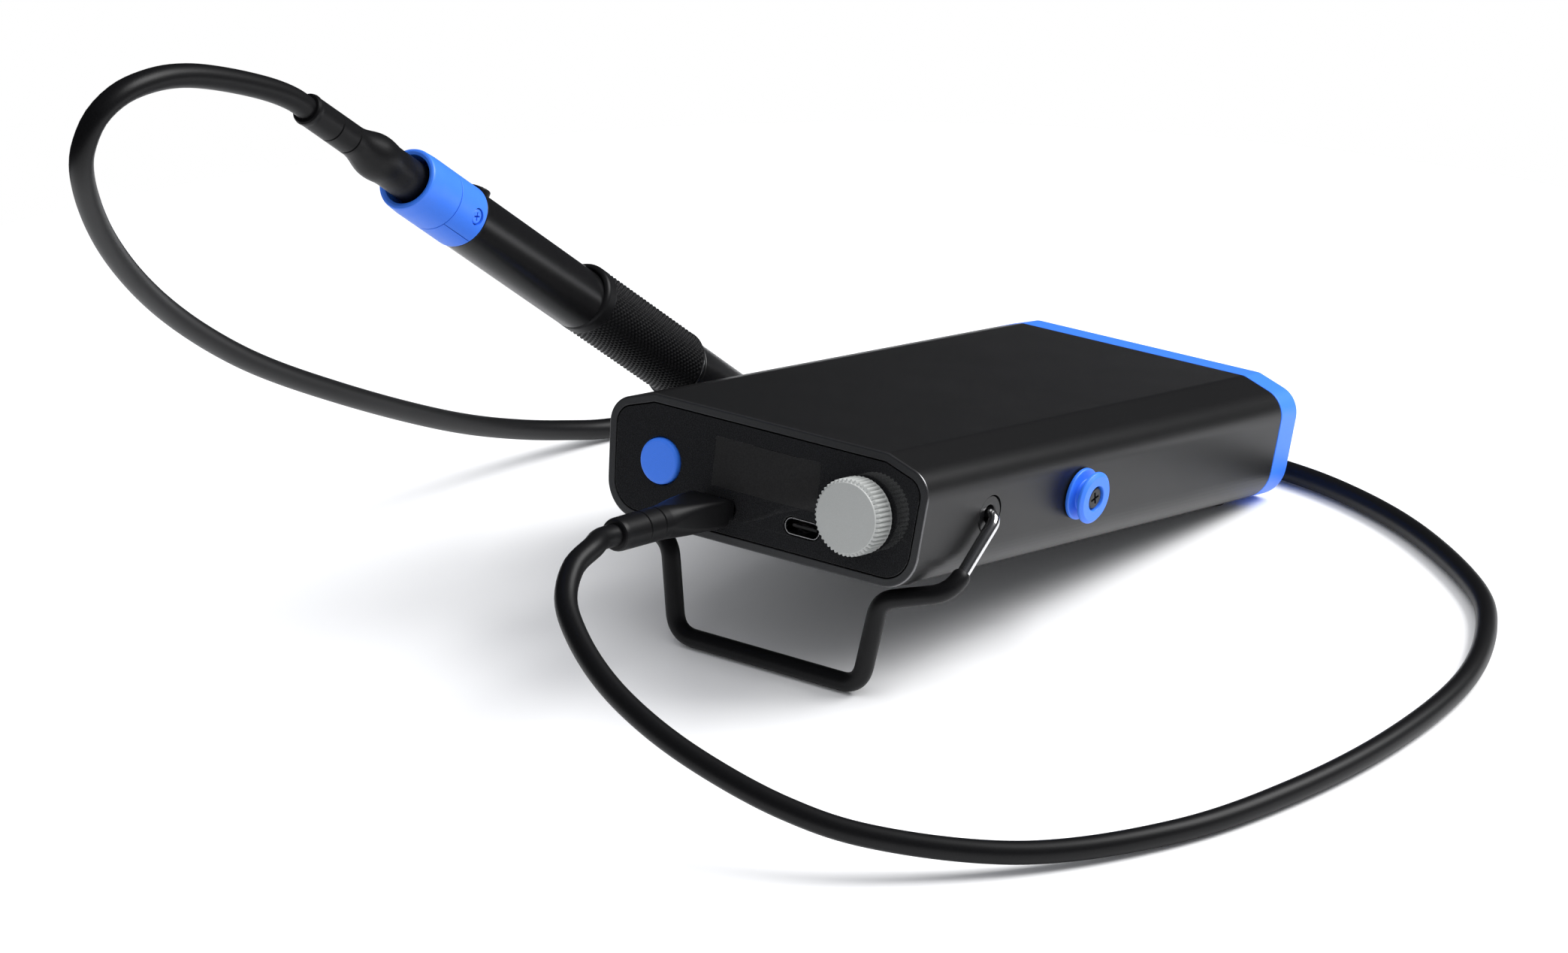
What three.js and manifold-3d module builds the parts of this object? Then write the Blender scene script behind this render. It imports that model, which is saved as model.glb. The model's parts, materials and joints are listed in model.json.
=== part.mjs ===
// A portable soldering iron station: a battery box on a folding wire stand, its iron hung in a
// cap on the left side, and the cable between them. Millimetres, +Z up, the front faces -Y.
// The box is modelled in its own frame (x across, y from the front face to the rear, z from the
// underside to the top), then tilted as a whole so that it stands on its stand and rear feet.
import * as THREE from "three";
import { mergeVertices } from "three/addons/utils/BufferGeometryUtils.js";
import Module from "manifold-3d";

const wasm = await Module();
wasm.setup();

// ---------------------------------------------------------------- driving dimensions

const gap = 0.3; // clearance between neighbouring pieces

const box = {
  sleeveLength: 154.7,
  length: 162.6,
  height: 30.2,
  topHalf: 32.4, // half the flat top
  waist: { half: 44.5, z: 26.3 }, // the widest line of the section
  baseHalf: 42.5,
  wall: 2,
};
const sideHeight = 15.1; // height of the stand's pivot and of the studs on the side walls
const sideX = box.baseHalf + ((box.waist.half - box.baseHalf) * sideHeight) / box.waist.z;
const sideLean = Math.atan2(box.waist.half - box.baseHalf, box.waist.z);

const panel = { thick: 2.4, buttonX: -28.6, knobX: 27.4, controlZ: 15.1 };
const portX = 11.7;
const portZ = 8.2;
const screen = { x: 0.5, z: 18.3, width: 29, height: 11.3 };

const stand = {
  wire: 1.5, // radius of the steel wire
  sleeve: 2.2, // radius of the black sleeve over it
  pivotY: 27,
  reachX: 45.8, // where the wire runs down beside the wall
  sleeveStart: 16.2, // distance of the sleeve's end from the pivot
  shoulder: { x: 45.2, out: 21.6 },
  knee: { x: 29.4, out: 28 },
  bar: { x: 25.8, y: 9.2, z: -26.5 },
};
const kneeAt = { y: 8.5, z: -4.7 }; // the knee fixes the plane of the upper legs
const foot = { radius: 5, thick: 1.4, x: 28.5, frontY: 14, rearY: 149.5 };
const stud = { y: 64.5, radius: 6.15, reach: 4.9 };

const cell = { radius: 10.6, length: 70.2, pitch: 23, z: 14.5, y: 70 };
const tray = { half: 35.2, from: 66, to: 144, floor: 2.4, top: 12 };

// The iron's own frame has +Z along its axis towards the cable and +Y on the side of its button.
// Its origin is at the rim of the cap that it stands in.
const iron = {
  place: [-57.5, 43.1, 25.9],
  lean: 0.46693, // the axis dips this much (radians) below the box's y axis
  barrel: 7.1,
  gripOffset: 0.9,
  grip: { radius: 8, from: 1.25, to: 47 },
  neck: { radius: 5.7, to: 104.9 }, // the thinner rear end of the barrel, inside the collar
  collar: { radius: 7.35, from: 98.8, seam: 109.6, to: 121.2, screwZ: 102 },
  button: { z: 95.8, radius: 2.7, top: 8.2 },
};
const cap = { radius: 7.9, bore: 6.5, length: 57, hangerZ: -24 };

const usb = { width: 8.34, height: 2.56, wall: 0.3, depth: 5.6 };
const cable = { radius: 2.55, joint: 0.46, steps: 78 };
const plugs = {
  // The station's plug droops a little in its port.
  station: { at: [-portX, -gap, portZ], rotation: [Math.PI / 2 + 0.038, 0, 0], length: 38.2 },
  iron: { at: [0, 0, 114.4], length: 47 },
};

// The station stands on the bar of its stand and on the rear edge of its rear feet.
const footEdge = foot.rearY + foot.radius;
const footDrop = foot.thick + gap;
const tilt =
  Math.atan2(-stand.bar.z - footDrop, footEdge - stand.bar.y) +
  Math.asin(stand.sleeve / Math.hypot(-stand.bar.z - footDrop, footEdge - stand.bar.y));
const standHeight = footEdge * Math.sin(tilt) + footDrop * Math.cos(tilt);
const centre = { x: 8.276, y: -55.363 }; // brings the middle of the standing object to x = y = 0

// The cable's route from the iron to the station, in the standing object's frame.
const route = [
  [-49.2, -151.2, 153.8],
  [-49.4, -172.5, 161.6],
  [-49.6, -183.9, 163.3],
  [-50.3, -192.6, 162.3],
  [-51.7, -197.8, 158.7],
  [-54, -199.3, 152.8],
  [-56.7, -197.6, 146.8],
  [-66.7, -182.9, 127.8],
  [-79.7, -154.8, 102.2],
  [-93.2, -113.9, 73.6],
  [-103.7, -67.9, 47.9],
  [-111.7, -15.9, 22.3],
  [-113.5, 10.5, 11.7],
  [-112.5, 28.2, 6.1],
  [-109.5, 41.7, 3],
  [-99, 63.3, 2.7],
  [-82, 82.8, 2.7],
  [-59, 98.8, 2.7],
  [-27, 111.9, 2.7],
  [10, 117.9, 2.7],
  [38, 117.3, 2.7],
  [60.2, 113.5, 2.7],
  [89.3, 101.1, 2.7],
  [121.3, 76.2, 2.7],
  [133.1, 59, 2.7],
  [143.5, 30.7, 2.7],
  [146.5, -6.3, 2.7],
  [142.5, -43.1, 2.7],
  [132.7, -75, 2.7],
  [113.2, -105.6, 4.2],
  [87.7, -126.4, 9.4],
  [71.9, -132.3, 13.5],
  [52.9, -134.1, 18.8],
  [38.2, -133.7, 23.8],
  [24.5, -130.8, 29],
  [12.3, -125.1, 34.3],
  [3.7, -118.4, 39],
  [-0.6, -110, 43],
  [-1.6, -101.7, 44.6],
];

// ---------------------------------------------------------------- materials

const finish = (color, roughness, metalness = 0) =>
  new THREE.MeshStandardMaterial({ color, roughness, metalness });

const materials = {
  anodised: () => finish(0x1c1d1f, 0.42, 0.8),
  bluePlastic: () => finish(0x2f6fe8, 0.45),
  glossBlack: () => finish(0x0c0c0e, 0.08),
  darkGlass: () => finish(0x151517, 0.05),
  blackPlastic: () => finish(0x17181a, 0.5),
  greyPlastic: () => finish(0xa4a8a4, 0.5),
  rubber: () => finish(0x111213, 0.75),
  steel: () => finish(0xc9cbcc, 0.25, 1),
  blackSteel: () => finish(0x1a1a1b, 0.35, 0.9),
  tipPlating: () => finish(0x9fa3a6, 0.3, 1),
  circuitBoard: () => finish(0x123f2b, 0.5),
  cellWrap: () => finish(0x2a7a63, 0.4),
  nickel: () => finish(0xb9b7ae, 0.35, 1),
  copper: () => finish(0xb06a3c, 0.35, 1),
};

// ---------------------------------------------------------------- geometry helpers

function toSolid(geometry) {
  const bare = geometry.index ? geometry.toNonIndexed() : geometry.clone();
  bare.deleteAttribute("normal");
  bare.deleteAttribute("uv");
  const merged = mergeVertices(bare, 1e-3);
  return new wasm.Manifold(
    new wasm.Mesh({
      numProp: 3,
      vertProperties: new Float32Array(merged.attributes.position.array),
      triVerts: new Uint32Array(merged.index.array),
    }),
  );
}

function toGeometry(solid) {
  const mesh = solid.getMesh();
  return new THREE.BufferGeometry()
    .setAttribute("position", new THREE.BufferAttribute(new Float32Array(mesh.vertProperties), 3))
    .setIndex(new THREE.BufferAttribute(new Uint32Array(mesh.triVerts), 1));
}

const join = (first, ...others) =>
  toGeometry(others.reduce((solid, other) => solid.add(toSolid(other)), toSolid(first)));

const cut = (first, ...others) =>
  toGeometry(others.reduce((solid, other) => solid.subtract(toSolid(other)), toSolid(first)));

const keep = (first, other) => toGeometry(toSolid(first).intersect(toSolid(other)));

// A closed outline whose corners, given anticlockwise as [x, y, radius], are rounded.
function roundedOutline(corners, target = new THREE.Shape()) {
  corners.forEach(([x, y, radius], i) => {
    const before = corners.at(i - 1);
    const after = corners[(i + 1) % corners.length];
    const inward = Math.atan2(y - before[1], x - before[0]);
    const outward = Math.atan2(after[1] - y, after[0] - x);
    const turn = (outward - inward + 2 * Math.PI) % (2 * Math.PI);
    const back = radius * Math.tan(turn / 2);
    const centreX = x - back * Math.cos(inward) - radius * Math.sin(inward);
    const centreY = y - back * Math.sin(inward) + radius * Math.cos(inward);
    target.absarc(centreX, centreY, radius, inward - Math.PI / 2, inward - Math.PI / 2 + turn);
  });
  return target;
}

// The same corners with every side moved inwards by a distance.
function insetCorners(corners, distance) {
  return corners.map(([x, y, radius], i) => {
    const before = corners.at(i - 1);
    const after = corners[(i + 1) % corners.length];
    const inward = Math.atan2(y - before[1], x - before[0]);
    const outward = Math.atan2(after[1] - y, after[0] - x);
    const shift = distance / (1 + Math.cos(outward - inward));
    return [
      x - shift * (Math.sin(inward) + Math.sin(outward)),
      y + shift * (Math.cos(inward) + Math.cos(outward)),
      Math.max(radius - distance, 0.5),
    ];
  });
}

const boxCorners = [
  [-box.baseHalf, 0, 9],
  [box.baseHalf, 0, 9],
  [box.waist.half, box.waist.z, 6.5],
  [box.topHalf, box.height, 4],
  [-box.topHalf, box.height, 4],
  [-box.waist.half, box.waist.z, 6.5],
];
const section = (inset) => roundedOutline(insetCorners(boxCorners, inset));

function rectangleCorners(width, height, radius, x = 0, y = 0) {
  const halfW = width / 2;
  const halfH = height / 2;
  return [
    [x - halfW, y - halfH, radius],
    [x + halfW, y - halfH, radius],
    [x + halfW, y + halfH, radius],
    [x - halfW, y + halfH, radius],
  ];
}
const rectangle = (...size) => roundedOutline(rectangleCorners(...size));

function ring(outer, ...holes) {
  outer.holes.push(...holes);
  return outer;
}

// An (x, z) outline carried along y between two stations.
function alongY(outline, from, to, curveSegments = 3) {
  const geometry = new THREE.ExtrudeGeometry(outline, {
    depth: to - from,
    bevelEnabled: false,
    curveSegments,
  });
  return geometry.rotateX(Math.PI / 2).translate(0, to, 0);
}

// An (x, y) outline carried along z between two stations.
function alongZ(outline, from, to, curveSegments = 3) {
  const geometry = new THREE.ExtrudeGeometry(outline, {
    depth: to - from,
    bevelEnabled: false,
    curveSegments,
  });
  return geometry.translate(0, 0, from);
}

const turnTo = {
  x: (geometry) => geometry.rotateZ(-Math.PI / 2),
  y: (geometry) => geometry,
  z: (geometry) => geometry.rotateX(Math.PI / 2),
};

// A round piece from its profile of [radius, station] points, low station first, outside last.
function turned(profile, axis, sides = 24) {
  const points = profile.map(([radius, station]) => new THREE.Vector2(radius, station));
  return turnTo[axis](new THREE.LatheGeometry(points, sides));
}

function rod(radius, from, to, axis, sides = 24) {
  const geometry = new THREE.CylinderGeometry(radius, radius, to - from, sides);
  return turnTo[axis](geometry.translate(0, (from + to) / 2, 0));
}

const pipe = (outer, inner, from, to, axis, sides = 24) =>
  turned(
    [
      [inner, from],
      [outer, from],
      [outer, to],
      [inner, to],
      [inner, from],
    ],
    axis,
    sides,
  );

function block(x, y, z) {
  const geometry = new THREE.BoxGeometry(x[1] - x[0], y[1] - y[0], z[1] - z[0]);
  return geometry.translate((x[0] + x[1]) / 2, (y[0] + y[1]) / 2, (z[0] + z[1]) / 2);
}

const circle = (radius, sides) => {
  const corner = (i) => (2 * Math.PI * i) / sides;
  const points = Array.from(
    { length: sides },
    (_, i) => new THREE.Vector2(radius * Math.cos(corner(i)), radius * Math.sin(corner(i))),
  );
  return new THREE.Shape(points);
};

const tube = (path, radius, steps, sides) =>
  new THREE.ExtrudeGeometry(circle(radius, sides), { extrudePath: path, steps });

// A path of straight runs with its inner corners rounded, each corner being [point, radius].
function bentPath(corners) {
  const path = new THREE.CurvePath();
  let start = corners[0][0];
  corners.slice(1).forEach(([corner, radius], i) => {
    const next = corners[i + 2]?.[0];
    if (!next) {
      path.add(new THREE.LineCurve3(start, corner));
      return;
    }
    const inward = corner.clone().sub(start).normalize();
    const outward = next.clone().sub(corner).normalize();
    const back = radius * Math.tan(inward.angleTo(outward) / 2);
    const arcStart = corner.clone().addScaledVector(inward, -back);
    const arcEnd = corner.clone().addScaledVector(outward, back);
    path.add(new THREE.LineCurve3(start, arcStart));
    path.add(new THREE.QuadraticBezierCurve3(arcStart, corner, arcEnd));
    start = arcEnd;
  });
  return path;
}

// Part of a longer curve, between two fractions of its length.
class Stretch extends THREE.Curve {
  constructor(whole, from, to) {
    super();
    Object.assign(this, { whole, from, to });
  }
  getPoint(t) {
    return this.whole.getPointAt(this.from + (this.to - this.from) * t);
  }
}

function place(parent, name, material, geometry, position = [0, 0, 0], rotation = [0, 0, 0]) {
  const mesh = new THREE.Mesh(geometry, material());
  mesh.name = name;
  mesh.position.set(...position);
  mesh.rotation.set(...rotation);
  parent.add(mesh);
  return mesh;
}

const sides = [
  ["left", -1],
  ["right", 1],
];

// ---------------------------------------------------------------- fasteners

// A countersunk cross-head screw along +Z with its head's face at z = 0.
function screw(headRadius, shankRadius, length) {
  const headDepth = 1.2;
  const slotWidth = 0.7;
  const slotReach = headRadius * 0.62;
  const body = turned(
    [
      [0, -length],
      [shankRadius, -length],
      [shankRadius, -headDepth],
      [headRadius, -headDepth],
      [headRadius, -0.2],
      [headRadius - 0.2, 0],
      [0, 0],
    ],
    "z",
    16,
  );
  return cut(
    body,
    block([-slotReach, slotReach], [-slotWidth / 2, slotWidth / 2], [-0.8, 1]),
    block([-slotWidth / 2, slotWidth / 2], [-slotReach, slotReach], [-0.8, 1]),
  );
}

// ---------------------------------------------------------------- housing

function housingSleeve() {
  const shell = alongY(ring(section(0), section(box.wall)), 0, box.sleeveLength, 4);
  const across = box.waist.half + 1;
  return cut(
    shell,
    rod(4.5, -across, across, "x").translate(0, stand.pivotY, sideHeight),
    rod(1.9, -across, across, "x", 12).translate(0, stud.y, sideHeight),
  );
}

const capScrewX = 31.5;
const capScrewZ = 9;

function rearCap() {
  const from = box.sleeveLength + gap;
  const cup = cut(
    alongY(section(0), from, box.length, 4),
    alongY(section(2.4), from - 1, box.length - 2.4),
  );
  const spigot = alongY(ring(section(box.wall + gap), section(3.8)), from - 5.2, box.length - 3);
  const post = (x) => rod(3.4, from - 5.2, box.length - 2, "y", 16).translate(x, 0, capScrewZ);
  const bore = (x) => rod(1.9, from - 6, box.length + 1, "y", 12).translate(x, 0, capScrewZ);
  const sink = (x) => rod(2.9, box.length - 1.6, box.length + 1, "y", 16).translate(x, 0, capScrewZ);
  return cut(
    join(cup, spigot, post(-capScrewX), post(capScrewX)),
    bore(-capScrewX),
    bore(capScrewX),
    sink(-capScrewX),
    sink(capScrewX),
  );
}

function frontPanel() {
  const through = (geometry) => geometry.translate(0, panel.thick / 2, 0);
  const port = (x) => alongY(rectangle(10.1, 4.46, 2.2, x, portZ), -1, 4);
  return cut(
    alongY(section(box.wall + gap), 0, panel.thick, 4),
    through(rod(5.65, -4, 4, "y")).translate(panel.buttonX, 0, panel.controlZ),
    through(rod(3.8, -4, 4, "y")).translate(panel.knobX, 0, panel.controlZ),
    port(-portX),
    port(portX),
    alongY(rectangle(screen.width + 0.6, screen.height + 0.6, 0.8, screen.x, screen.z), -1, 4),
  );
}

function housing(parent) {
  place(parent, "housing_sleeve", materials.anodised, housingSleeve());
  place(parent, "rear_cap", materials.bluePlastic, rearCap());
  place(parent, "front_panel", materials.glossBlack, frontPanel());
  place(
    parent,
    "display_window",
    materials.darkGlass,
    alongY(rectangle(screen.width, screen.height, 0.5, screen.x, screen.z), 0, 1.2),
  );
  sides.forEach(([side, sign]) => {
    place(
      parent,
      `rear_cap_screw_${side}`,
      materials.blackSteel,
      screw(2.5, 1.5, 18),
      [sign * capScrewX, box.length - 0.3, capScrewZ],
      [-Math.PI / 2, 0, 0],
    );
    const feet = [
      ["front", foot.frontY],
      ["rear", foot.rearY],
    ];
    feet.forEach(([end, y]) => {
      place(
        parent,
        `foot_${end}_${side}`,
        materials.rubber,
        rod(foot.radius, -footDrop, -gap, "z"),
        [sign * foot.x, y, 0],
      );
    });
  });
}

// ---------------------------------------------------------------- controls

function powerButton() {
  return turned(
    [
      [0, -1.1],
      [3.4, -1],
      [4.8, -0.7],
      [5.35, -0.1],
      [5.35, 2.8],
      [6.3, 2.8],
      [6.3, 3.6],
      [1.5, 3.6],
      [1.5, 5],
      [0, 5],
    ],
    "y",
  );
}

const knob = { radius: 8.8, toothDepth: 0.5, teeth: 48, face: -6.6, disc: -5.9, back: -1, bore: 2.9 };

function knobGeometry() {
  const corners = 2 * knob.teeth;
  const outline = Array.from({ length: corners }, (_, i) => {
    const radius = knob.radius - (i % 2) * knob.toothDepth;
    const angle = (2 * Math.PI * i) / corners;
    return new THREE.Vector2(radius * Math.cos(angle), radius * Math.sin(angle));
  });
  return cut(
    join(
      alongY(new THREE.Shape(outline), knob.disc, knob.back),
      rod(knob.radius - 0.9, knob.face, knob.disc + 0.5, "y", 32),
    ),
    rod(knob.bore, knob.back - 4, knob.back + 1, "y"),
  );
}

// The rotary encoder: a body with a pocket for its plunger, and a threaded bush round its shaft.
const encoder = { front: 4.2, back: 9.4, half: 6 };

function encoderBody() {
  const half = encoder.half;
  return cut(
    join(
      block([-half, half], [encoder.front, encoder.back], [-half, half]),
      rod(3.5, 0.2, encoder.front + 0.4, "y"),
    ),
    rod(2.9, -1, encoder.back - 3, "y"),
    rod(3.7, encoder.front + 0.3, encoder.back - 0.5, "y"),
  );
}

function controls(parent) {
  const buttonPlace = [panel.buttonX, 0, panel.controlZ];
  const knobPlace = [panel.knobX, 0, panel.controlZ];
  place(parent, "power_button", materials.bluePlastic, powerButton(), buttonPlace);
  place(
    parent,
    "power_switch",
    materials.blackPlastic,
    block([-3, 3], [5.9, 9.4], [-3, 3]),
    buttonPlace,
  );
  place(parent, "knob", materials.greyPlastic, knobGeometry(), knobPlace);
  place(
    parent,
    "encoder_shaft",
    materials.steel,
    rod(2.55, knob.back - 3.7, encoder.front + 0.4, "y", 16),
    knobPlace,
  );
  place(
    parent,
    "encoder_plunger",
    materials.blackPlastic,
    rod(3.3, encoder.front + 0.8, encoder.front + 1.8, "y"),
    knobPlace,
  );
  place(parent, "encoder_body", materials.blackPlastic, encoderBody(), knobPlace);
  place(
    parent,
    "display_module",
    materials.glossBlack,
    block([-13.5, 13.5], [1.5, 4.2], [-5, 5]),
    [screen.x, 0, screen.z],
  );
  place(
    parent,
    "front_board",
    materials.circuitBoard,
    block([-36, 36], [encoder.back + gap, encoder.back + gap + 1.6], [11, 25]),
  );
}

// ---------------------------------------------------------------- ports, boards and battery

// A USB-C receptacle along z with its mouth at z = 0: a shell closed at the back by its contacts.
const portGeometry = () =>
  join(
    alongZ(ring(rectangle(9.5, 3.86, 1.9), rectangle(8.94, 3.26, 1.6)), -7, 0),
    alongZ(rectangle(9.2, 3.6, 1.8), -6.9, -6),
    block([-3.35, 3.35], [-0.35, 0.35], [-6.4, -1]),
  );

function electronics(parent) {
  const mouth = 0.2;
  sides.forEach(([side, sign]) => {
    const at = [sign * portX, mouth, portZ];
    place(parent, `port_${side}`, materials.steel, portGeometry(), at, [Math.PI / 2, 0, 0]);
  });
  const board = { top: 5.9, half: 35 };
  place(
    parent,
    "main_board",
    materials.circuitBoard,
    block([-board.half, board.half], [3, 62], [board.top - 1.6, board.top]),
  );
  const onBoard = board.top + gap;
  place(
    parent,
    "power_inductor",
    materials.copper,
    rod(6.5, onBoard, onBoard + 6, "z"),
    [-16, 36, 0],
  );
  place(
    parent,
    "control_chip",
    materials.blackPlastic,
    block([-4, 4], [-4, 4], [onBoard, onBoard + 1]),
    [6, 32, 0],
  );
}

function batteryTray() {
  const cellRow = [-1, 0, 1].map((i) => i * cell.pitch);
  const base = block([-tray.half, tray.half], [tray.from, tray.to], [tray.floor, tray.top]);
  const bosses = [-1, 1].map((sign) =>
    block(
      [sign * capScrewX - 3.6, sign * capScrewX + 3.6],
      [tray.to - 1, 149],
      [tray.floor + 2, tray.top],
    ),
  );
  const pockets = cellRow.map((x) =>
    rod(cell.radius + gap, cell.y - 1, cell.y + cell.length + 1, "y").translate(x, 0, cell.z),
  );
  const bores = [-1, 1].map((sign) =>
    rod(1.9, tray.to - 1.5, 160, "y", 12).translate(sign * capScrewX, 0, capScrewZ),
  );
  return cut(join(base, ...bosses), ...pockets, ...bores);
}

function batteryCell() {
  return turned(
    [
      [0, 0],
      [cell.radius - 0.6, 0],
      [cell.radius, 0.6],
      [cell.radius, cell.length - 1.4],
      [cell.radius - 0.8, cell.length - 0.7],
      [4, cell.length - 0.7],
      [4, cell.length],
      [0, cell.length],
    ],
    "y",
  );
}

function battery(parent) {
  place(parent, "battery_tray", materials.blackPlastic, batteryTray());
  [-1, 0, 1].forEach((i) => {
    place(parent, `battery_cell_${i + 2}`, materials.cellWrap, batteryCell(), [
      i * cell.pitch,
      cell.y,
      cell.z,
    ]);
  });
  const strip = () => block([-30, 30], [0, 0.3], [-2, 2]);
  place(parent, "contact_strip_front", materials.nickel, strip(), [0, cell.y - 0.7, cell.z]);
  place(parent, "contact_strip_rear", materials.nickel, strip(), [
    0,
    cell.y + cell.length + 0.35,
    cell.z,
  ]);
  place(
    parent,
    "battery_board",
    materials.circuitBoard,
    block([-30, 30], [tray.from - 2.1, tray.from - 0.5], [6.5, 20]),
  );
}

// ---------------------------------------------------------------- stand and side studs

function standPath(from) {
  const length = Math.hypot(kneeAt.y - stand.pivotY, kneeAt.z - sideHeight);
  const down = [(kneeAt.y - stand.pivotY) / length, (kneeAt.z - sideHeight) / length];
  const onLeg = (x, out) =>
    new THREE.Vector3(x, stand.pivotY + down[0] * out, sideHeight + down[1] * out);
  const startX = 36;
  const slope = (stand.shoulder.x - stand.reachX) / stand.shoulder.out;
  const start = from
    ? [[onLeg(stand.reachX + slope * from, from)]]
    : [[onLeg(startX, 0)], [onLeg(stand.reachX, 0), 3]];
  const half = [
    ...start,
    [onLeg(stand.shoulder.x, stand.shoulder.out), 7.5],
    [onLeg(stand.knee.x, stand.knee.out), 5.5],
    [new THREE.Vector3(stand.bar.x, stand.bar.y, stand.bar.z), 6],
  ];
  const mirrored = half.map(([point, radius]) => [
    new THREE.Vector3(-point.x, point.y, point.z),
    radius,
  ]);
  return bentPath([...half, ...mirrored.reverse()]);
}

function standBush() {
  return turned(
    [
      [1.8, 39.3],
      [5.6, 39.3],
      [5.6, 40.7],
      [4.2, 40.7],
      [4.2, sideX],
      [1.8, sideX],
      [1.8, 39.3],
    ],
    "x",
  );
}

// A blue spool on the side wall, from the wall outwards, with a recess for its screw.
function studGeometry() {
  return turned(
    [
      [1.9, gap],
      [stud.radius, gap],
      [stud.radius, 1.2],
      [3.7, 1.5],
      [3.7, 3.4],
      [stud.radius, 3.5],
      [stud.radius, 4.2],
      [stud.radius - 0.7, stud.reach],
      [3, stud.reach],
      [3, 3.2],
      [1.9, 3.2],
      [1.9, gap],
    ],
    "x",
  );
}

function standAndStuds(parent) {
  const wirePath = standPath(0);
  const sleevePath = standPath(stand.sleeveStart);
  const wireSteps = 72;
  const wire = tube(wirePath, stand.wire, wireSteps, 10);
  const sleeveSteps = Math.round((wireSteps * sleevePath.getLength()) / wirePath.getLength());
  const sleeve = cut(
    tube(sleevePath, stand.sleeve, sleeveSteps, 10),
    tube(wirePath, stand.wire + gap, wireSteps, 10),
  );
  place(parent, "stand_wire", materials.steel, wire);
  place(parent, "stand_sleeve", materials.rubber, sleeve);
  sides.forEach(([side, sign]) => {
    const turnRound = [0, sign > 0 ? 0 : Math.PI, 0];
    place(
      parent,
      `stand_bush_${side}`,
      materials.blackPlastic,
      standBush(),
      [0, stand.pivotY, sideHeight],
      turnRound,
    );
    const wall = new THREE.Group();
    wall.position.set(sign * sideX, stud.y, sideHeight);
    wall.rotation.set(0, (sign > 0 ? 0 : Math.PI) + sign * sideLean, 0);
    parent.add(wall);
    place(wall, `stud_${side}`, materials.bluePlastic, studGeometry());
    place(
      wall,
      `stud_screw_${side}`,
      materials.blackSteel,
      screw(2.6, 1.5, 9),
      [4.7, 0, 0],
      [0, Math.PI / 2, 0],
    );
  });
}

// ---------------------------------------------------------------- the iron and its cap

function capGeometry() {
  const body = cut(
    rod(cap.radius, -cap.length, 0, "z", 32),
    rod(cap.bore, -cap.length + 2, 1, "z", 32),
  );
  // The hanger on the station's side: an arch with a slot for the stud's flange behind a narrower one.
  const web = { from: 7.2, half: 8 };
  const flange = { from: 8.2, to: 11.2, half: 6.5 };
  const lip = { to: 11.95, half: 4.1 };
  const low = cap.hangerZ - 9;
  const arch = (half, from, to, foot) =>
    join(
      rod(half, from, to, "x").translate(0, 0, cap.hangerZ),
      block([from, to], [-half, half], [foot, cap.hangerZ]),
    );
  return cut(
    join(body, arch(web.half, web.from, lip.to, low)),
    arch(flange.half, flange.from, flange.to, low - 1),
    arch(lip.half, flange.to - 0.5, lip.to + 1, low - 1),
    rod(cap.bore, -cap.length + 2, 1, "z", 32),
  );
}

function barrelGeometry() {
  const shell = turned(
    [
      [4.4, 1.5],
      [5.9, 1.5],
      [5.9, iron.grip.to + gap],
      [iron.barrel, iron.grip.to + gap],
      [iron.barrel, iron.collar.from - gap],
      [iron.neck.radius, iron.collar.from - gap],
      [iron.neck.radius, iron.neck.to],
      [4.4, iron.neck.to],
      [4.4, 1.5],
    ],
    "z",
    32,
  );
  return cut(shell, rod(3, 0, 10, "y", 20).translate(0, 0, iron.button.z));
}

// The clamp round the rear of the barrel is split lengthwise into an upper and a lower shell.
function collarShell(upper) {
  const { radius, from, seam } = iron.collar;
  const clamp = pipe(radius, 6, from, seam - gap / 2, "z", 32);
  const reach = 20;
  const edge = upper ? 0.15 : -0.15;
  const wedge = alongZ(
    new THREE.Shape([
      new THREE.Vector2(0, edge),
      new THREE.Vector2(-reach, edge - reach),
      new THREE.Vector2(reach, edge - reach),
    ]),
    from - 1,
    seam + 1,
  );
  const screwSeat = rod(1.95, -9, 9, "x", 16).translate(0, 0, iron.collar.screwZ);
  const notch = rod(iron.button.radius + gap, 0, 10, "y", 20).translate(0, 0, iron.button.z);
  return upper ? cut(clamp, wedge, notch, screwSeat) : keep(clamp, wedge);
}

function collarRear() {
  const { radius, seam, to } = iron.collar;
  return turned(
    [
      [5.6, seam + gap / 2],
      [radius, seam + gap / 2],
      [radius, to - 4],
      [radius - 0.35, to - 1.5],
      [radius - 0.8, to - 0.3],
      [6.2, to],
      [5.6, to - 3],
      [5.6, seam + gap / 2],
    ],
    "z",
    32,
  );
}

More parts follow.
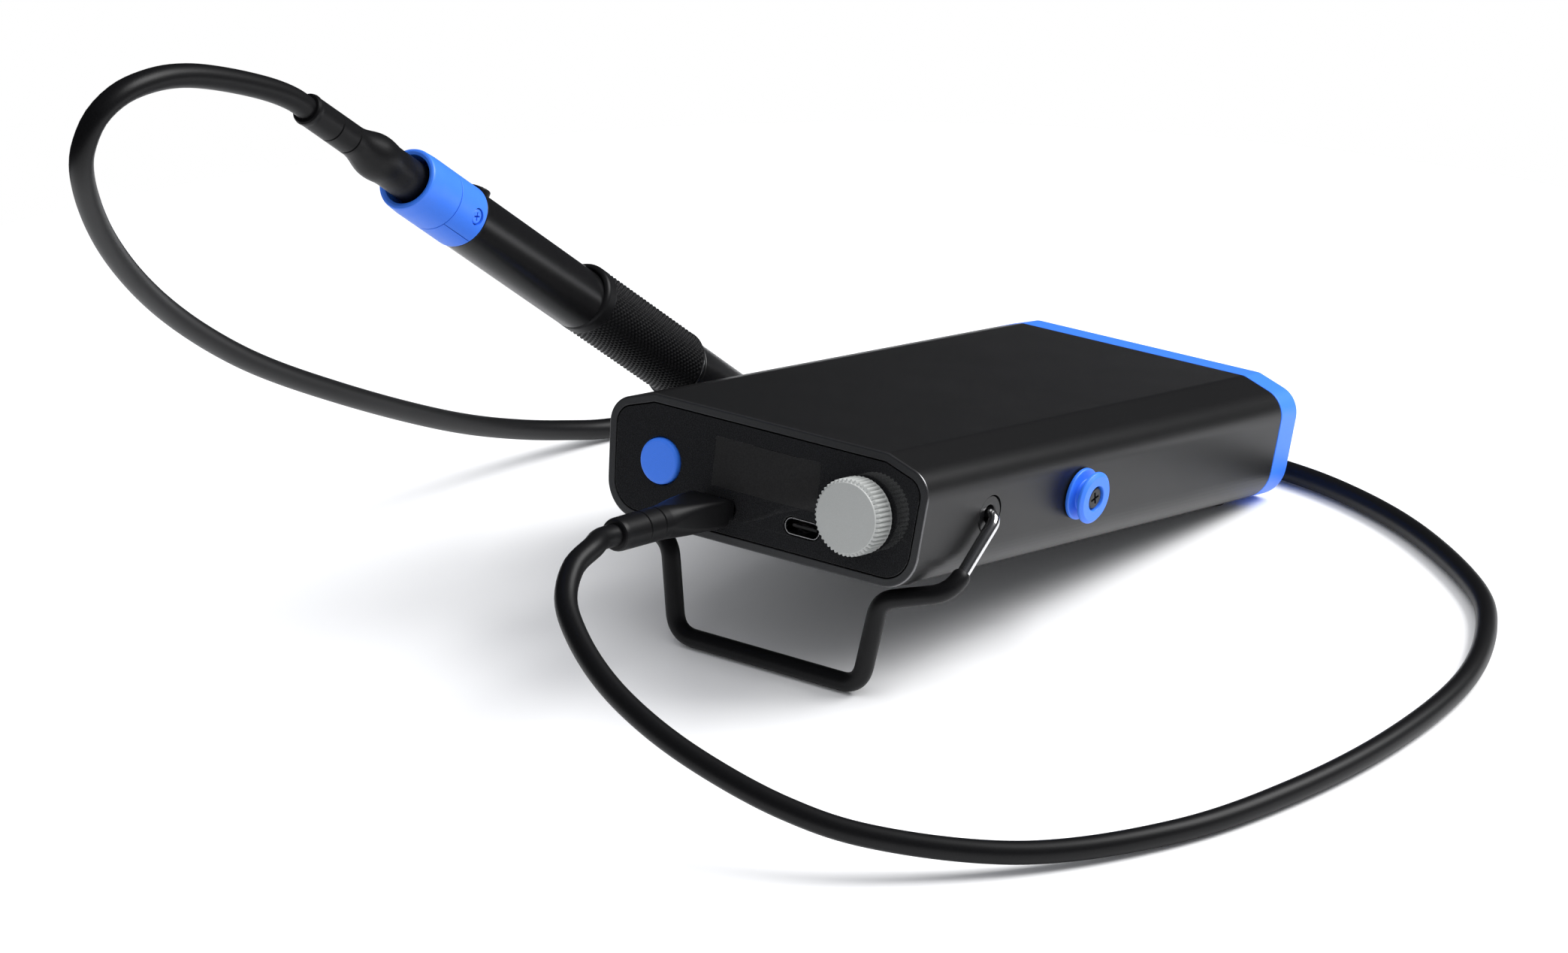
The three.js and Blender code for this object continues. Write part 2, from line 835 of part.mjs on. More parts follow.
function ironPieces(parent) {
  const { grip, collar, button } = iron;
  place(parent, "holder_cap", materials.blackPlastic, capGeometry());
  place(parent, "holder_liner", materials.steel, pipe(6.2, 5.8, -cap.length + 2.4, -0.6, "z"));
  place(
    parent,
    "tip",
    materials.tipPlating,
    turned(
      [
        [0, -50.4],
        [0.25, -50.2],
        [1.1, -46],
        [2.4, -36],
        [2.4, 22],
        [0, 22],
      ],
      "z",
      16,
    ),
  );
  place(
    parent,
    "nose",
    materials.blackPlastic,
    turned(
      [
        [2.8, -9],
        [3.6, -9],
        [5.3, -1],
        [5.3, 1.1],
        [2.8, 1.1],
        [2.8, -9],
      ],
      "z",
    ),
  );
  place(parent, "nose_ring", materials.steel, pipe(7.7, 6.2, gap, 0.95, "z", 32));
  place(
    parent,
    "tip_socket",
    materials.nickel,
    cut(rod(4.1, 8, 28, "z"), rod(2.75, 7, 22.4, "z", 20)),
  );
  const gripOutline = circle(grip.radius, 32);
  const gripPipe = cut(
    alongZ(gripOutline, grip.from, grip.to).translate(0, iron.gripOffset, 0),
    rod(5.9 + gap, 0, 60, "z"),
  );
  place(parent, "grip_sleeve", materials.rubber, gripPipe);
  place(parent, "barrel", materials.blackPlastic, barrelGeometry());
  place(parent, "collar_upper", materials.bluePlastic, collarShell(true));
  place(parent, "collar_lower", materials.bluePlastic, collarShell(false));
  place(parent, "lock_ring", materials.bluePlastic, collarRear());
  sides.forEach(([side, sign]) => {
    place(
      parent,
      `collar_screw_${side}`,
      materials.bluePlastic,
      screw(1.65, 0.9, 1.3),
      [sign * (collar.radius - 0.25), 0, collar.screwZ],
      [0, (sign * Math.PI) / 2, 0],
    );
  });
  place(
    parent,
    "iron_button",
    materials.rubber,
    turned(
      [
        [0, 5],
        [button.radius, 5],
        [button.radius, button.top - 0.4],
        [button.radius - 0.5, button.top],
        [0, button.top],
      ],
      "y",
      20,
    ),
    [0, 0, button.z],
  );
  place(
    parent,
    "iron_board",
    materials.circuitBoard,
    block([-3.2, 3.2], [1.5, 2.5], [60, 103]),
  );
  const holder = { from: iron.neck.to + 0.6, to: 113.9 };
  place(
    parent,
    "iron_port_holder",
    materials.blackPlastic,
    cut(
      rod(5.25, holder.from, holder.to, "z"),
      alongZ(rectangle(10.1, 4.46, 2.2), holder.from + 1.4, holder.to + 1),
    ),
  );
  place(parent, "iron_port", materials.steel, portGeometry(), [0, 0, holder.to]);
}

// ---------------------------------------------------------------- cable and plugs

// A plug's metal shell, standing out of the moulding's front face at z = 0.
const plugShell = () =>
  cut(
    alongZ(rectangle(usb.width, usb.height, 1.2), -usb.depth, 0.5),
    alongZ(rectangle(usb.width - 2 * usb.wall, usb.height - 2 * usb.wall, 0.9), -8, -0.6),
  );

// The moulded plug at the station's end, along +Z from its front face.
function stationPlug() {
  const length = plugs.station.length;
  return join(
    plugShell(),
    alongZ(rectangle(10.6, 5.2, 1.4), 0, 2.4),
    alongZ(rectangle(12, 6.5, 1.8), 2, 18.5),
    turned(
      [
        [0, 17],
        [3.1, 17],
        [3.8, 24],
        [3.7, length - 1],
        [3.1, length],
        [0, length],
      ],
      "z",
      20,
    ),
  );
}

// The moulded plug at the iron's end: its front fills the lock ring, and it tapers behind a bulge.
function ironPlug() {
  const length = plugs.iron.length;
  const moulding = turned(
    [
      [0, 0],
      [4.7, 0],
      [4.7, 14.5],
      [5.1, 18.5],
      [4.9, 21.5],
      [4, 25],
      [3.5, 28],
      [3.4, length - 1],
      [2.9, length],
      [0, length],
    ],
    "z",
    20,
  );
  return join(plugShell(), moulding);
}

// ---------------------------------------------------------------- assembly

const soldering = new THREE.Group();
const stationFrame = new THREE.Group();
stationFrame.position.set(centre.x, centre.y, standHeight);
stationFrame.rotation.set(-tilt, 0, 0);
soldering.add(stationFrame);

housing(stationFrame);
controls(stationFrame);
electronics(stationFrame);
battery(stationFrame);
standAndStuds(stationFrame);

const ironFrame = new THREE.Group();
ironFrame.position.set(...iron.place);
ironFrame.rotation.set(Math.PI / 2 - iron.lean, 0, 0);
stationFrame.add(ironFrame);
ironPieces(ironFrame);

const stationPlugMesh = place(
  stationFrame,
  "plug_station",
  materials.rubber,
  stationPlug(),
  plugs.station.at,
  plugs.station.rotation,
);
const ironPlugMesh = place(
  ironFrame,
  "plug_iron",
  materials.rubber,
  ironPlug(),
  plugs.iron.at,
);

// The cable starts and ends a gap behind its two plugs, leaves each along the plug's own axis
// and passes through the route between.
soldering.updateMatrixWorld(true);
const straight = 5;
const behind = (mesh, plug, distance) =>
  mesh.localToWorld(new THREE.Vector3(0, 0, plug.length + distance));
const cableCurve = new THREE.CatmullRomCurve3(
  [
    behind(ironPlugMesh, plugs.iron, gap),
    behind(ironPlugMesh, plugs.iron, straight),
    ...route.map((point) => new THREE.Vector3(...point)),
    behind(stationPlugMesh, plugs.station, straight),
    behind(stationPlugMesh, plugs.station, gap),
  ],
  false,
  "centripetal",
);
cableCurve.arcLengthDivisions = 2000;
const cableLength = cableCurve.getLength();
const ironSideSteps = Math.round(cable.steps * cable.joint);
place(
  soldering,
  "cable_iron_side",
  materials.rubber,
  tube(new Stretch(cableCurve, 0, cable.joint), cable.radius, ironSideSteps, 8),
);
place(
  soldering,
  "cable_station_side",
  materials.rubber,
  tube(
    new Stretch(cableCurve, cable.joint + gap / cableLength, 1),
    cable.radius,
    cable.steps - ironSideSteps,
    8,
  ),
);

export default soldering;
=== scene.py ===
# %% [markdown]
# # A portable soldering station
# The real object is a battery box on a folding wire stand. Its iron hangs in a cap on the left
# side, and one silicone cable joins the two. The mechanical model is already packed with its
# joints, so this notebook loads it as a fixed frame and lays the visible surfaces over it.

# %% Load the frame
import json
import math

import bmesh
import bpy
import numpy as np
from mathutils import Matrix


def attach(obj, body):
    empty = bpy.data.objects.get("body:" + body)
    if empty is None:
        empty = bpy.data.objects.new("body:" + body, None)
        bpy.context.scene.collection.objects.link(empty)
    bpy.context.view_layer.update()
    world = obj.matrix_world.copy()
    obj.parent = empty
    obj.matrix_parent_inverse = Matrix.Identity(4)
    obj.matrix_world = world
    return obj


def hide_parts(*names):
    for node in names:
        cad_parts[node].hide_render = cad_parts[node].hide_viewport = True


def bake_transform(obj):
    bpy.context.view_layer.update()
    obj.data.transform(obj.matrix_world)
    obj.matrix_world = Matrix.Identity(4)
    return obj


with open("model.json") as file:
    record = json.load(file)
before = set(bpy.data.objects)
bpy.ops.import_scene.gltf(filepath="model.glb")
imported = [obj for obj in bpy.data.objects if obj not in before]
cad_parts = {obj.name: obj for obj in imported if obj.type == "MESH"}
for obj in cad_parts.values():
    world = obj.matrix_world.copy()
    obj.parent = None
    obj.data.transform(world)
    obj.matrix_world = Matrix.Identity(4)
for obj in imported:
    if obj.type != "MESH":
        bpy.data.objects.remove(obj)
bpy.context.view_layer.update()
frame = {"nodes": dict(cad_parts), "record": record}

# %% [markdown]
# ## Places
# The box was drawn in its own frame (x across, y from the front to the rear, z up from its
# underside, millimetres) and then tilted to stand on its stand. The iron has a frame of its own,
# with z along its axis. Two matrices carry either frame to the standing object.

# %% Places of the box and of the iron
MM = 0.001
TURN = 2 * math.pi


def shift(x, y, z):
    """The matrix that moves a point by (x, y, z)."""
    matrix = np.eye(4)
    matrix[:3, 3] = (x, y, z)
    return matrix


def turn(axis, angle):
    """The matrix that turns a point about the x, y or z axis, right-handed, by an angle."""
    i, j = {"x": (1, 2), "y": (2, 0), "z": (0, 1)}[axis]
    matrix = np.eye(4)
    matrix[i, i] = matrix[j, j] = math.cos(angle)
    matrix[i, j] = -math.sin(angle)
    matrix[j, i] = math.sin(angle)
    return matrix


BAR_Y, BAR_Z, SLEEVE_RADIUS = 9.2, -26.5, 2.2
FOOT_EDGE, FOOT_DROP = 154.5, 1.7
rise, run = -BAR_Z - FOOT_DROP, FOOT_EDGE - BAR_Y
tilt = math.atan2(rise, run) + math.asin(SLEEVE_RADIUS / math.hypot(rise, run))
stand_height = FOOT_EDGE * math.sin(tilt) + FOOT_DROP * math.cos(tilt)

STATION = shift(8.276, -55.363, stand_height) @ turn("x", -tilt)
IRON = STATION @ shift(-57.5, 43.1, 25.9) @ turn("x", math.pi / 2 - 0.46693)
Z_TO_X = turn("y", math.pi / 2)
Z_TO_Y = turn("x", -math.pi / 2)
SIDES = {"left": -1, "right": 1}
print(f"tilt {math.degrees(tilt):.2f} degrees, front lifted {stand_height:.2f} mm")

# %% [markdown]
# ## Camera
# A long lens from the front right, a little above, keeps the box's edges nearly parallel.

# %% Camera
def linked(name, data):
    """A new object of that data, in the scene."""
    thing = bpy.data.objects.new(name, data)
    bpy.context.scene.collection.objects.link(thing)
    return thing


camera = linked("camera", bpy.data.cameras.new("camera"))
camera.data.sensor_width = 36
camera.data.lens = 121.03
camera.data.clip_end = 20
look = np.array([-0.5469, 0.7514, -0.369])
look /= np.linalg.norm(look)
up = np.array([-0.2136, 0.3009, 0.9294])
right = np.cross(look, up)
right /= np.linalg.norm(right)
up = np.cross(right, look)
pose = np.eye(4)
pose[:3, :3] = np.stack([right, up, -look], axis=1)
pose[:3, 3] = np.array([659.18, -938.66, 484.0]) * MM
camera.matrix_world = Matrix(pose.tolist())
bpy.context.scene.camera = camera

# %% [markdown]
# ## Surfaces from numbers
# Nearly every piece here is either turned on a lathe, moulded along a straight line or bent from
# a rod. All three are one thing to numpy: a grid of points P(u, v), with u going round the piece
# and v going along it. Modelling by hand would work too, but a formula keeps every rim round and
# every wall even.

# %% Grids to closed meshes
def placed(points, place):
    """Each point p becomes M p, for the 4 by 4 matrix M."""
    return points @ place[:3, :3].T + place[:3, 3]


def grid_faces(nu, nv, close_u, close_v):
    """One quad joins each grid point to its neighbours one step on in u and in v."""
    u = np.arange(nu if close_u else nu - 1)[:, None]
    v = np.arange(nv if close_v else nv - 1)[None, :]
    u_next, v_next = (u + 1) % nu, (v + 1) % nv
    corners = [u * nv + v, u_next * nv + v, u_next * nv + v_next, u * nv + v_next]
    return np.stack(np.broadcast_arrays(*corners), axis=-1).reshape(-1, 4)


def closed_surface(grid, close_v=False):
    """Points and faces of a closed skin: u always closes on itself, and v either closes too or
    ends in two fans of triangles, each round the mean point of its end ring."""
    nu, nv = grid.shape[:2]
    points = grid.reshape(-1, 3)
    faces = grid_faces(nu, nv, True, close_v).tolist()
    if not close_v:
        points = np.vstack([points, grid[:, 0].mean(axis=0), grid[:, -1].mean(axis=0)])
        ring = np.arange(nu)
        ahead = np.roll(ring, -1)
        first = np.stack([np.full(nu, nu * nv), ahead * nv, ring * nv], axis=-1)
        last_ring, last_ahead = ring * nv + nv - 1, ahead * nv + nv - 1
        last = np.stack([np.full(nu, nu * nv + 1), last_ring, last_ahead], axis=-1)
        faces += first.tolist() + last.tolist()
    return points, faces


def volume(points, faces):
    """A sixth of the sum of a . (b x c) over the faces' triangles: negative if turned inside out."""
    total = 0.0
    for size in {len(f) for f in faces}:
        same = points[np.array([f for f in faces if len(f) == size])]
        for k in range(1, size - 1):
            total += np.einsum("ij,ij->", same[:, 0], np.cross(same[:, k], same[:, k + 1]))
    return total / 6


def new_object(name, points, faces, place):
    """A mesh object at the origin from points in millimetres in a piece's own frame."""
    points = placed(points, place) * MM
    if volume(points, faces) < 0:
        faces = [f[::-1] for f in faces]
    mesh = bpy.data.meshes.new(name)
    mesh.from_pydata(points.tolist(), [], faces)
    mesh.update()
    return linked(name, mesh)


def skin(name, grid, place=STATION, close_v=False):
    """An object whose skin is the grid P(u, v)."""
    return new_object(name, *closed_surface(grid, close_v), place)


# %% [markdown]
# ### Rounded corners
# A real edge always has a small radius, and that radius is what catches the light. So a profile
# is written as its sharp corners, each with the radius that it is rounded to.

# %% Profiles and outlines
def guarded(line, closed=False, reach=0.1, over=0.5):
    """The line with one more point just inside each end of every straight longer than over, so
    that smooth shading bends on the corners and leaves the straights flat."""
    before = line if closed else line[:-1]
    after = np.roll(line, -1, axis=0) if closed else line[1:]
    gap = after - before
    length = np.linalg.norm(gap[:, :2], axis=1)
    long = length > over
    step = gap[long] / length[long, None] * reach
    place = np.flatnonzero(long)
    order = np.concatenate([np.arange(len(line)), place + 0.3, place + 0.6])
    points = np.vstack([line, before[long] + step, after[long] - step])
    return points[np.argsort(order)]


def rounded(corners, closed=False, steps=5):
    """A line through (a, b, radius) corners. A corner's arc touches both of its straight sides,
    at radius x tan(turn / 2) from the corner."""
    points = []
    count = len(corners)
    for i, (a, b, radius) in enumerate(corners):
        here = np.array([a, b], float)
        if radius == 0 or (not closed and i in (0, count - 1)):
            points.append(here[None])
            continue
        before = np.array(corners[i - 1][:2], float) - here
        after = np.array(corners[(i + 1) % count][:2], float) - here
        before /= np.linalg.norm(before)
        after /= np.linalg.norm(after)
        half = math.acos(np.clip(before @ after, -1, 1)) / 2
        middle = (before + after) / np.linalg.norm(before + after)
        centre = here + middle * radius / math.sin(half)
        start = here + before * radius / math.tan(half) - centre
        end = here + after * radius / math.tan(half) - centre
        sweep = math.pi - 2 * half
        t = np.linspace(0, 1, steps + 1)[:, None]
        arc = np.sin((1 - t) * sweep) * start + np.sin(t * sweep) * end
        points.append(centre + arc / math.sin(sweep))
    return guarded(np.vstack(points), closed)


def lathe(profile, around=96):
    """P(u, v) = (r(v) cos u, r(v) sin u, h(v)) for a profile of (r, h) pairs."""
    r, h = np.asarray(profile, float).T
    u = np.linspace(0, TURN, around, endpoint=False)[:, None]
    return np.stack([r * np.cos(u), r * np.sin(u), h + 0 * u], axis=-1)


def soft_rectangle(half_width, half_height, radius, per_corner=8):
    """A rectangle's outline with quarter-circle corners, as (x, y) pairs anticlockwise. Each
    corner has one more point on the straight before it and one on the straight after it."""
    angle = np.linspace(0, math.pi / 2, per_corner)[None] + np.arange(4)[:, None] * math.pi / 2
    arc = radius * np.stack([np.cos(angle), np.sin(angle)], axis=-1)
    forward = np.stack([-np.sin(angle), np.cos(angle)], axis=-1)
    guard = np.minimum(0.1, (np.array([half_height, half_width]) - radius) / 2)
    lead = guard[[0, 1, 0, 1], None] * forward[:, 0]
    trail = guard[[1, 0, 1, 0], None] * forward[:, -1]
    corner = np.array([(1, 1), (-1, 1), (-1, -1), (1, -1)]) * (half_width - radius, half_height - radius)
    rings = np.concatenate([(arc[:, 0] - lead)[:, None], arc, (arc[:, -1] + trail)[:, None]], axis=1)
    return (rings + corner[:, None]).reshape(-1, 2)


def loft(sections):
    """P(u, v) = outline v's point u at height z(v). A section is (z, half width, half height,
    corner radius)."""
    rings = []
    for z, half_width, half_height, radius in sections:
        outline = soft_rectangle(half_width, half_height, radius)
        rings.append(np.column_stack([outline, np.full(len(outline), z)]))
    return np.stack(rings, axis=1)


# %% [markdown]
# ## Finishes
# Anodised metal, moulded plastic, silicone and plated steel differ in colour and gloss, but all
# carry a fine grain and a faint unevenness from handling. Those two effects are node groups,
# built once and placed in each material with its own values.

# %% Shared effects
def effect(name, inputs, outputs):
    """An empty shader node group with float inputs (name: default) and float outputs."""
    group = bpy.data.node_groups.new(name, "ShaderNodeTree")
    for label, value in inputs.items():
        socket = group.interface.new_socket(label, in_out="INPUT", socket_type="NodeSocketFloat")
        socket.default_value = value
    for label in outputs:
        group.interface.new_socket(label, in_out="OUTPUT", socket_type="NodeSocketFloat")
    nodes = group.nodes
    return group, nodes.new("NodeGroupInput"), nodes.new("NodeGroupOutput")


def node(tree, kind, links=None, **settings):
    """A node with its sockets set from values or linked from other sockets."""
    made = tree.nodes.new(kind)
    for key, value in settings.items():
        setattr(made, key, value)
    for socket, value in (links or {}).items():
        if isinstance(value, bpy.types.NodeSocket):
            tree.links.new(value, made.inputs[socket])
        else:
            made.inputs[socket].default_value = value
    return made


def fine_grain():
    """Grain = noise at the given size, with a second noise a third as large for sparkle."""
    group, given, out = effect("fine_grain", {"Per metre": 3000.0, "Roundness": 0.5}, ["Height", "Tone"])
    place = node(group, "ShaderNodeTexCoord")
    at = place.outputs["Object"]
    coarse = node(group, "ShaderNodeTexNoise", {
        "Vector": at, "Scale": given.outputs["Per metre"], "Detail": 3.0,
        "Roughness": given.outputs["Roundness"],
    })
    finer = node(group, "ShaderNodeMath", {0: given.outputs["Per metre"], 1: 3.1}, operation="MULTIPLY")
    fine = node(group, "ShaderNodeTexNoise", {"Vector": at, "Scale": finer.outputs[0], "Detail": 1.0})
    both = {0: coarse.outputs["Fac"], 1: fine.outputs["Fac"]}
    height = node(group, "ShaderNodeMath", both, operation="ADD")
    tone = node(group, "ShaderNodeMapRange", {
        "Value": fine.outputs["Fac"], "From Min": 0.35, "From Max": 0.65,
    })
    group.links.new(height.outputs[0], out.inputs["Height"])
    group.links.new(tone.outputs["Result"], out.inputs["Tone"])
    return group


def handling():
    """Wear = slow cloudy noise, with thin streaks where a ridge of stretched noise crosses zero."""
    group, given, out = effect("handling", {"Per metre": 30.0}, ["Cloud", "Streak"])
    place = node(group, "ShaderNodeTexCoord")
    cloud = node(group, "ShaderNodeTexNoise", {
        "Vector": place.outputs["Object"], "Scale": given.outputs["Per metre"], "Detail": 4.0,
    })
    stretch = node(group, "ShaderNodeMapping", {
        "Vector": place.outputs["Object"], "Scale": (9.0, 1.0, 7.0), "Rotation": (0.3, 0.2, 0.5),
    })
    ridge = node(group, "ShaderNodeTexNoise", {
        "Vector": stretch.outputs["Vector"], "Scale": 60.0, "Detail": 2.0,
    })
    offset = node(group, "ShaderNodeMath", {0: ridge.outputs["Fac"], 1: 0.5}, operation="SUBTRACT")
    near = node(group, "ShaderNodeMath", {0: offset.outputs[0]}, operation="ABSOLUTE")
    streak = node(group, "ShaderNodeMapRange", {
        "Value": near.outputs[0], "From Min": 0.0, "From Max": 0.006, "To Min": 1.0, "To Max": 0.0,
    })
    spread = node(group, "ShaderNodeMapRange", {
        "Value": cloud.outputs["Fac"], "From Min": 0.3, "From Max": 0.7,
    })
    group.links.new(spread.outputs["Result"], out.inputs["Cloud"])
    group.links.new(streak.outputs["Result"], out.inputs["Streak"])
    return group


FINE_GRAIN = fine_grain()
HANDLING = handling()

# %% [markdown]
# One function makes every finish. The Principled shader takes its plain values on its own
# sockets; the two groups only vary colour and roughness a little, and raise the grain.

# %% A finish
def finish(name, colour, roughness, metallic=0.0, grain=3000.0, depth=0.00001, tone=0.15,
           uneven=0.06, specular=0.5, streaks=0.0):
    """Colour is the base colour scaled by 1 +- tone over the grain. Roughness varies by the
    uneven share over the cloud, plus the streaks."""
    made = bpy.data.materials.new(name)
    made.use_nodes = True
    tree = made.node_tree
    shader = tree.nodes["Principled BSDF"]
    shader.inputs["Metallic"].default_value = metallic
    shader.inputs["Specular IOR Level"].default_value = specular
    marks = node(tree, "ShaderNodeGroup", node_tree=HANDLING)
    grains = node(tree, "ShaderNodeGroup", {}, node_tree=FINE_GRAIN)
    grains.inputs["Per metre"].default_value = grain
    dark = [c * (1 - tone) for c in colour] + [1]
    light = [min(1.0, c * (1 + tone) + 0.004 * tone) for c in colour] + [1]
    mixed = node(tree, "ShaderNodeMix", {
        "Factor": grains.outputs["Tone"], 6: dark, 7: light,
    }, data_type="RGBA")
    tree.links.new(mixed.outputs[2], shader.inputs["Base Color"])
    varied = node(tree, "ShaderNodeMapRange", {
        "Value": marks.outputs["Cloud"], "To Min": roughness * (1 - uneven),
        "To Max": roughness * (1 + uneven),
    })
    marked = node(tree, "ShaderNodeMath", {
        0: marks.outputs["Streak"], 1: streaks, 2: varied.outputs["Result"],
    }, operation="MULTIPLY_ADD")
    tree.links.new(marked.outputs[0], shader.inputs["Roughness"])
    bump = node(tree, "ShaderNodeBump", {
        "Height": grains.outputs["Height"], "Distance": depth, "Strength": 1.0,
    })
    tree.links.new(bump.outputs["Normal"], shader.inputs["Normal"])
    return made


FINISHES = {
    "black_anodised": finish("black_anodised", (0.012, 0.012, 0.0125), 0.36, 0.4, 4200, 1.2e-5, 0.5,
                             specular=0.4),
    "cut_rim": finish("cut_rim", (0.035, 0.036, 0.038), 0.45, 0.5, 4200, 1.2e-5, 0.3),
    "cut_edge": finish("cut_edge", (0.16, 0.16, 0.165), 0.3, 0.9, 2500, 4e-6, 0.2),
    "blue_plastic": finish("blue_plastic", (0.038, 0.195, 0.88), 0.42, 0, 2600, 6e-6, 0.05),
    "gloss_black": finish("gloss_black", (0.014, 0.0142, 0.0152), 0.04, 0, 900, 1e-8, 0.1, 0.2,
                          streaks=0.03),
    "dark_window": finish("dark_window", (0.021, 0.0208, 0.021), 0.03, 0, 900, 1e-8, 0.1, 0.2,
                          streaks=0.03),
    "black_plastic": finish("black_plastic", (0.005, 0.005, 0.0055), 0.26, 0, 3200, 6e-6, 0.3,
                            specular=0.35),
    "grey_plastic": finish("grey_plastic", (0.39, 0.4, 0.39), 0.45, 0, 2600, 6e-6, 0.06),
    "black_rubber": finish("black_rubber", (0.004, 0.004, 0.0046), 0.42, 0, 2800, 1e-5, 0.35,
                           specular=0.2),
    "bright_steel": finish("bright_steel", (0.72, 0.72, 0.73), 0.16, 1, 1500, 2e-6, 0.05, 0.3),
    "black_steel": finish("black_steel", (0.02, 0.02, 0.021), 0.3, 0.7, 2200, 6e-6, 0.3, 0.2),
    "tip_plating": finish("tip_plating", (0.42, 0.43, 0.45), 0.28, 1, 1800, 5e-6, 0.1, 0.3),
    "circuit_board": finish("circuit_board", (0.01, 0.06, 0.03), 0.35, 0, 700, 8e-6, 0.25),
    "cell_wrap": finish("cell_wrap", (0.03, 0.2, 0.13), 0.3, 0, 400, 4e-6, 0.06),
    "nickel": finish("nickel", (0.5, 0.48, 0.43), 0.3, 1, 1500, 5e-6, 0.08, 0.3),
    "copper": finish("copper", (0.5, 0.16, 0.06), 0.35, 1, 2200, 2e-5, 0.2, 0.3),
}
print("finishes:", len(FINISHES), "and groups:", len(bpy.data.node_groups))

# %% [markdown]
# Every piece goes through one last step: it is smoothed between its sharp edges, takes its
# finish, hides the mechanical nodes it stands for and, unless told not to, rides on the first
# node's body.

# %% Finishing a piece
node_body = {n: b for b, ns in frame["record"]["behaviour"]["bodies"].items() for n in ns}
node_slot = {s["node"]: s["material_slot"] for s in frame["record"]["subparts"]}
made_pieces = []


def complete(piece, *nodes, look=None, sharp=32, ride=True):
    """Smooth shading up to an edge of that many degrees, the finish of the first node it stands
    for or another one, and its place on that node's body."""
    piece.data.shade_smooth()
    piece.data.set_sharp_from_angle(angle=math.radians(sharp))
    if not piece.data.materials:
        piece.data.materials.append(FINISHES[look or node_slot[nodes[0]]])
    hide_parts(*nodes)
    if ride:
        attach(piece, node_body[nodes[0]])
    made_pieces.append(piece)
    return piece


def carve(piece, *cutters):
    """Takes the cutters' space out of a piece and removes the cutters."""
    for cutter in cutters:
        step = piece.modifiers.new("carve", "BOOLEAN")
        step.object = cutter
        step.solver = "EXACT"
        ready = piece.evaluated_get(bpy.context.evaluated_depsgraph_get())
        carved = bpy.data.meshes.new_from_object(ready)
        piece.modifiers.clear()
        piece.data = carved
        bpy.data.objects.remove(cutter)
    return piece


def plug_of(radius, low, high, place, around=64):
    """A plain round cutter along z."""
    return skin("cutter", lathe([(radius, low), (radius, high)], around), place)


def turned(name, node_name, corners, place, closed=False, steps=5, around=96, cutters=()):
    """A finished piece: rounded (r, z, radius) corners on the lathe, less the cutters."""
    piece = skin(name, lathe(rounded(corners, closed, steps), around), place, closed)
    return complete(carve(piece, *cutters), node_name)


# %% [markdown]
# ## Cable
# A silicone cable of 5 mm leaves the iron's plug, loops back over itself and falls to the table,
# passes behind the box and comes round to the left port. A path of points with a centripetal
# Catmull-Rom curve through them bends without kinks, which a Bezier with hand-set handles would
# not promise.

# %% The cable's line
ROUTE = np.array([
    [-49.2, -151.2, 153.8], [-49.4, -172.5, 161.6], [-49.6, -183.9, 163.3], [-50.3, -192.6, 162.3],
    [-51.7, -197.8, 158.7], [-54, -199.3, 152.8], [-56.7, -197.6, 146.8], [-66.7, -182.9, 127.8],
    [-79.7, -154.8, 102.2], [-93.2, -113.9, 73.6], [-103.7, -67.9, 47.9], [-111.7, -15.9, 22.3],
    [-113.5, 10.5, 11.7], [-112.5, 28.2, 6.1], [-109.5, 41.7, 3], [-99, 63.3, 2.7],
    [-82, 82.8, 2.7], [-59, 98.8, 2.7], [-27, 111.9, 2.7], [10, 117.9, 2.7],
    [38, 117.3, 2.7], [60.2, 113.5, 2.7], [89.3, 101.1, 2.7], [121.3, 76.2, 2.7],
    [133.1, 59, 2.7], [143.5, 30.7, 2.7], [146.5, -6.3, 2.7], [142.5, -43.1, 2.7],
    [132.7, -75, 2.7], [113.2, -105.6, 4.2], [87.7, -126.4, 9.4], [71.9, -132.3, 13.5],
    [52.9, -134.1, 18.8], [38.2, -133.7, 23.8], [24.5, -130.8, 29], [12.3, -125.1, 34.3],
    [3.7, -118.4, 39], [-0.6, -110, 43], [-1.6, -101.7, 44.6],
])
IRON_PLUG_END, STATION_PLUG_END = 47.0, 38.2
STATION_PLUG = STATION @ shift(-11.7, -0.3, 8.2) @ turn("x", math.pi / 2 + 0.038)
IRON_PORT_Z = 113.9
IRON_PLUG = IRON @ shift(0, 0, IRON_PORT_Z + 0.5)


def catmull_rom(points, per_span=40):
    """Centripetal Catmull-Rom: each span is a blend of blends of its four points, with knots
    apart by the square root of the points' distance (Barry and Goldman's pyramid)."""
    ends = 2 * points[[0, -1]] - points[[1, -2]]
    p = np.vstack([ends[:1], points, ends[1:]])
    knots = np.sqrt(np.linalg.norm(np.diff(p, axis=0), axis=1))
    knots = np.concatenate([[0], np.cumsum(knots)])
    a, b, c, d = (p[i : len(p) - 3 + i, None] for i in range(4))
    ta, tb, tc, td = (knots[i : len(p) - 3 + i, None, None] for i in range(4))
    t = tb + (tc - tb) * np.linspace(0, 1, per_span, endpoint=False)[None, :, None]
    ab = ((tb - t) * a + (t - ta) * b) / (tb - ta)
    bc = ((tc - t) * b + (t - tb) * c) / (tc - tb)
    cd = ((td - t) * c + (t - tc) * d) / (td - tc)
    abc = ((tc - t) * ab + (t - ta) * bc) / (tc - ta)
    bcd = ((td - t) * bc + (t - tb) * cd) / (td - tb)
    line = ((tc - t) * abc + (t - tb) * bcd) / (tc - tb)
    return np.vstack([line.reshape(-1, 3), points[-1:]])


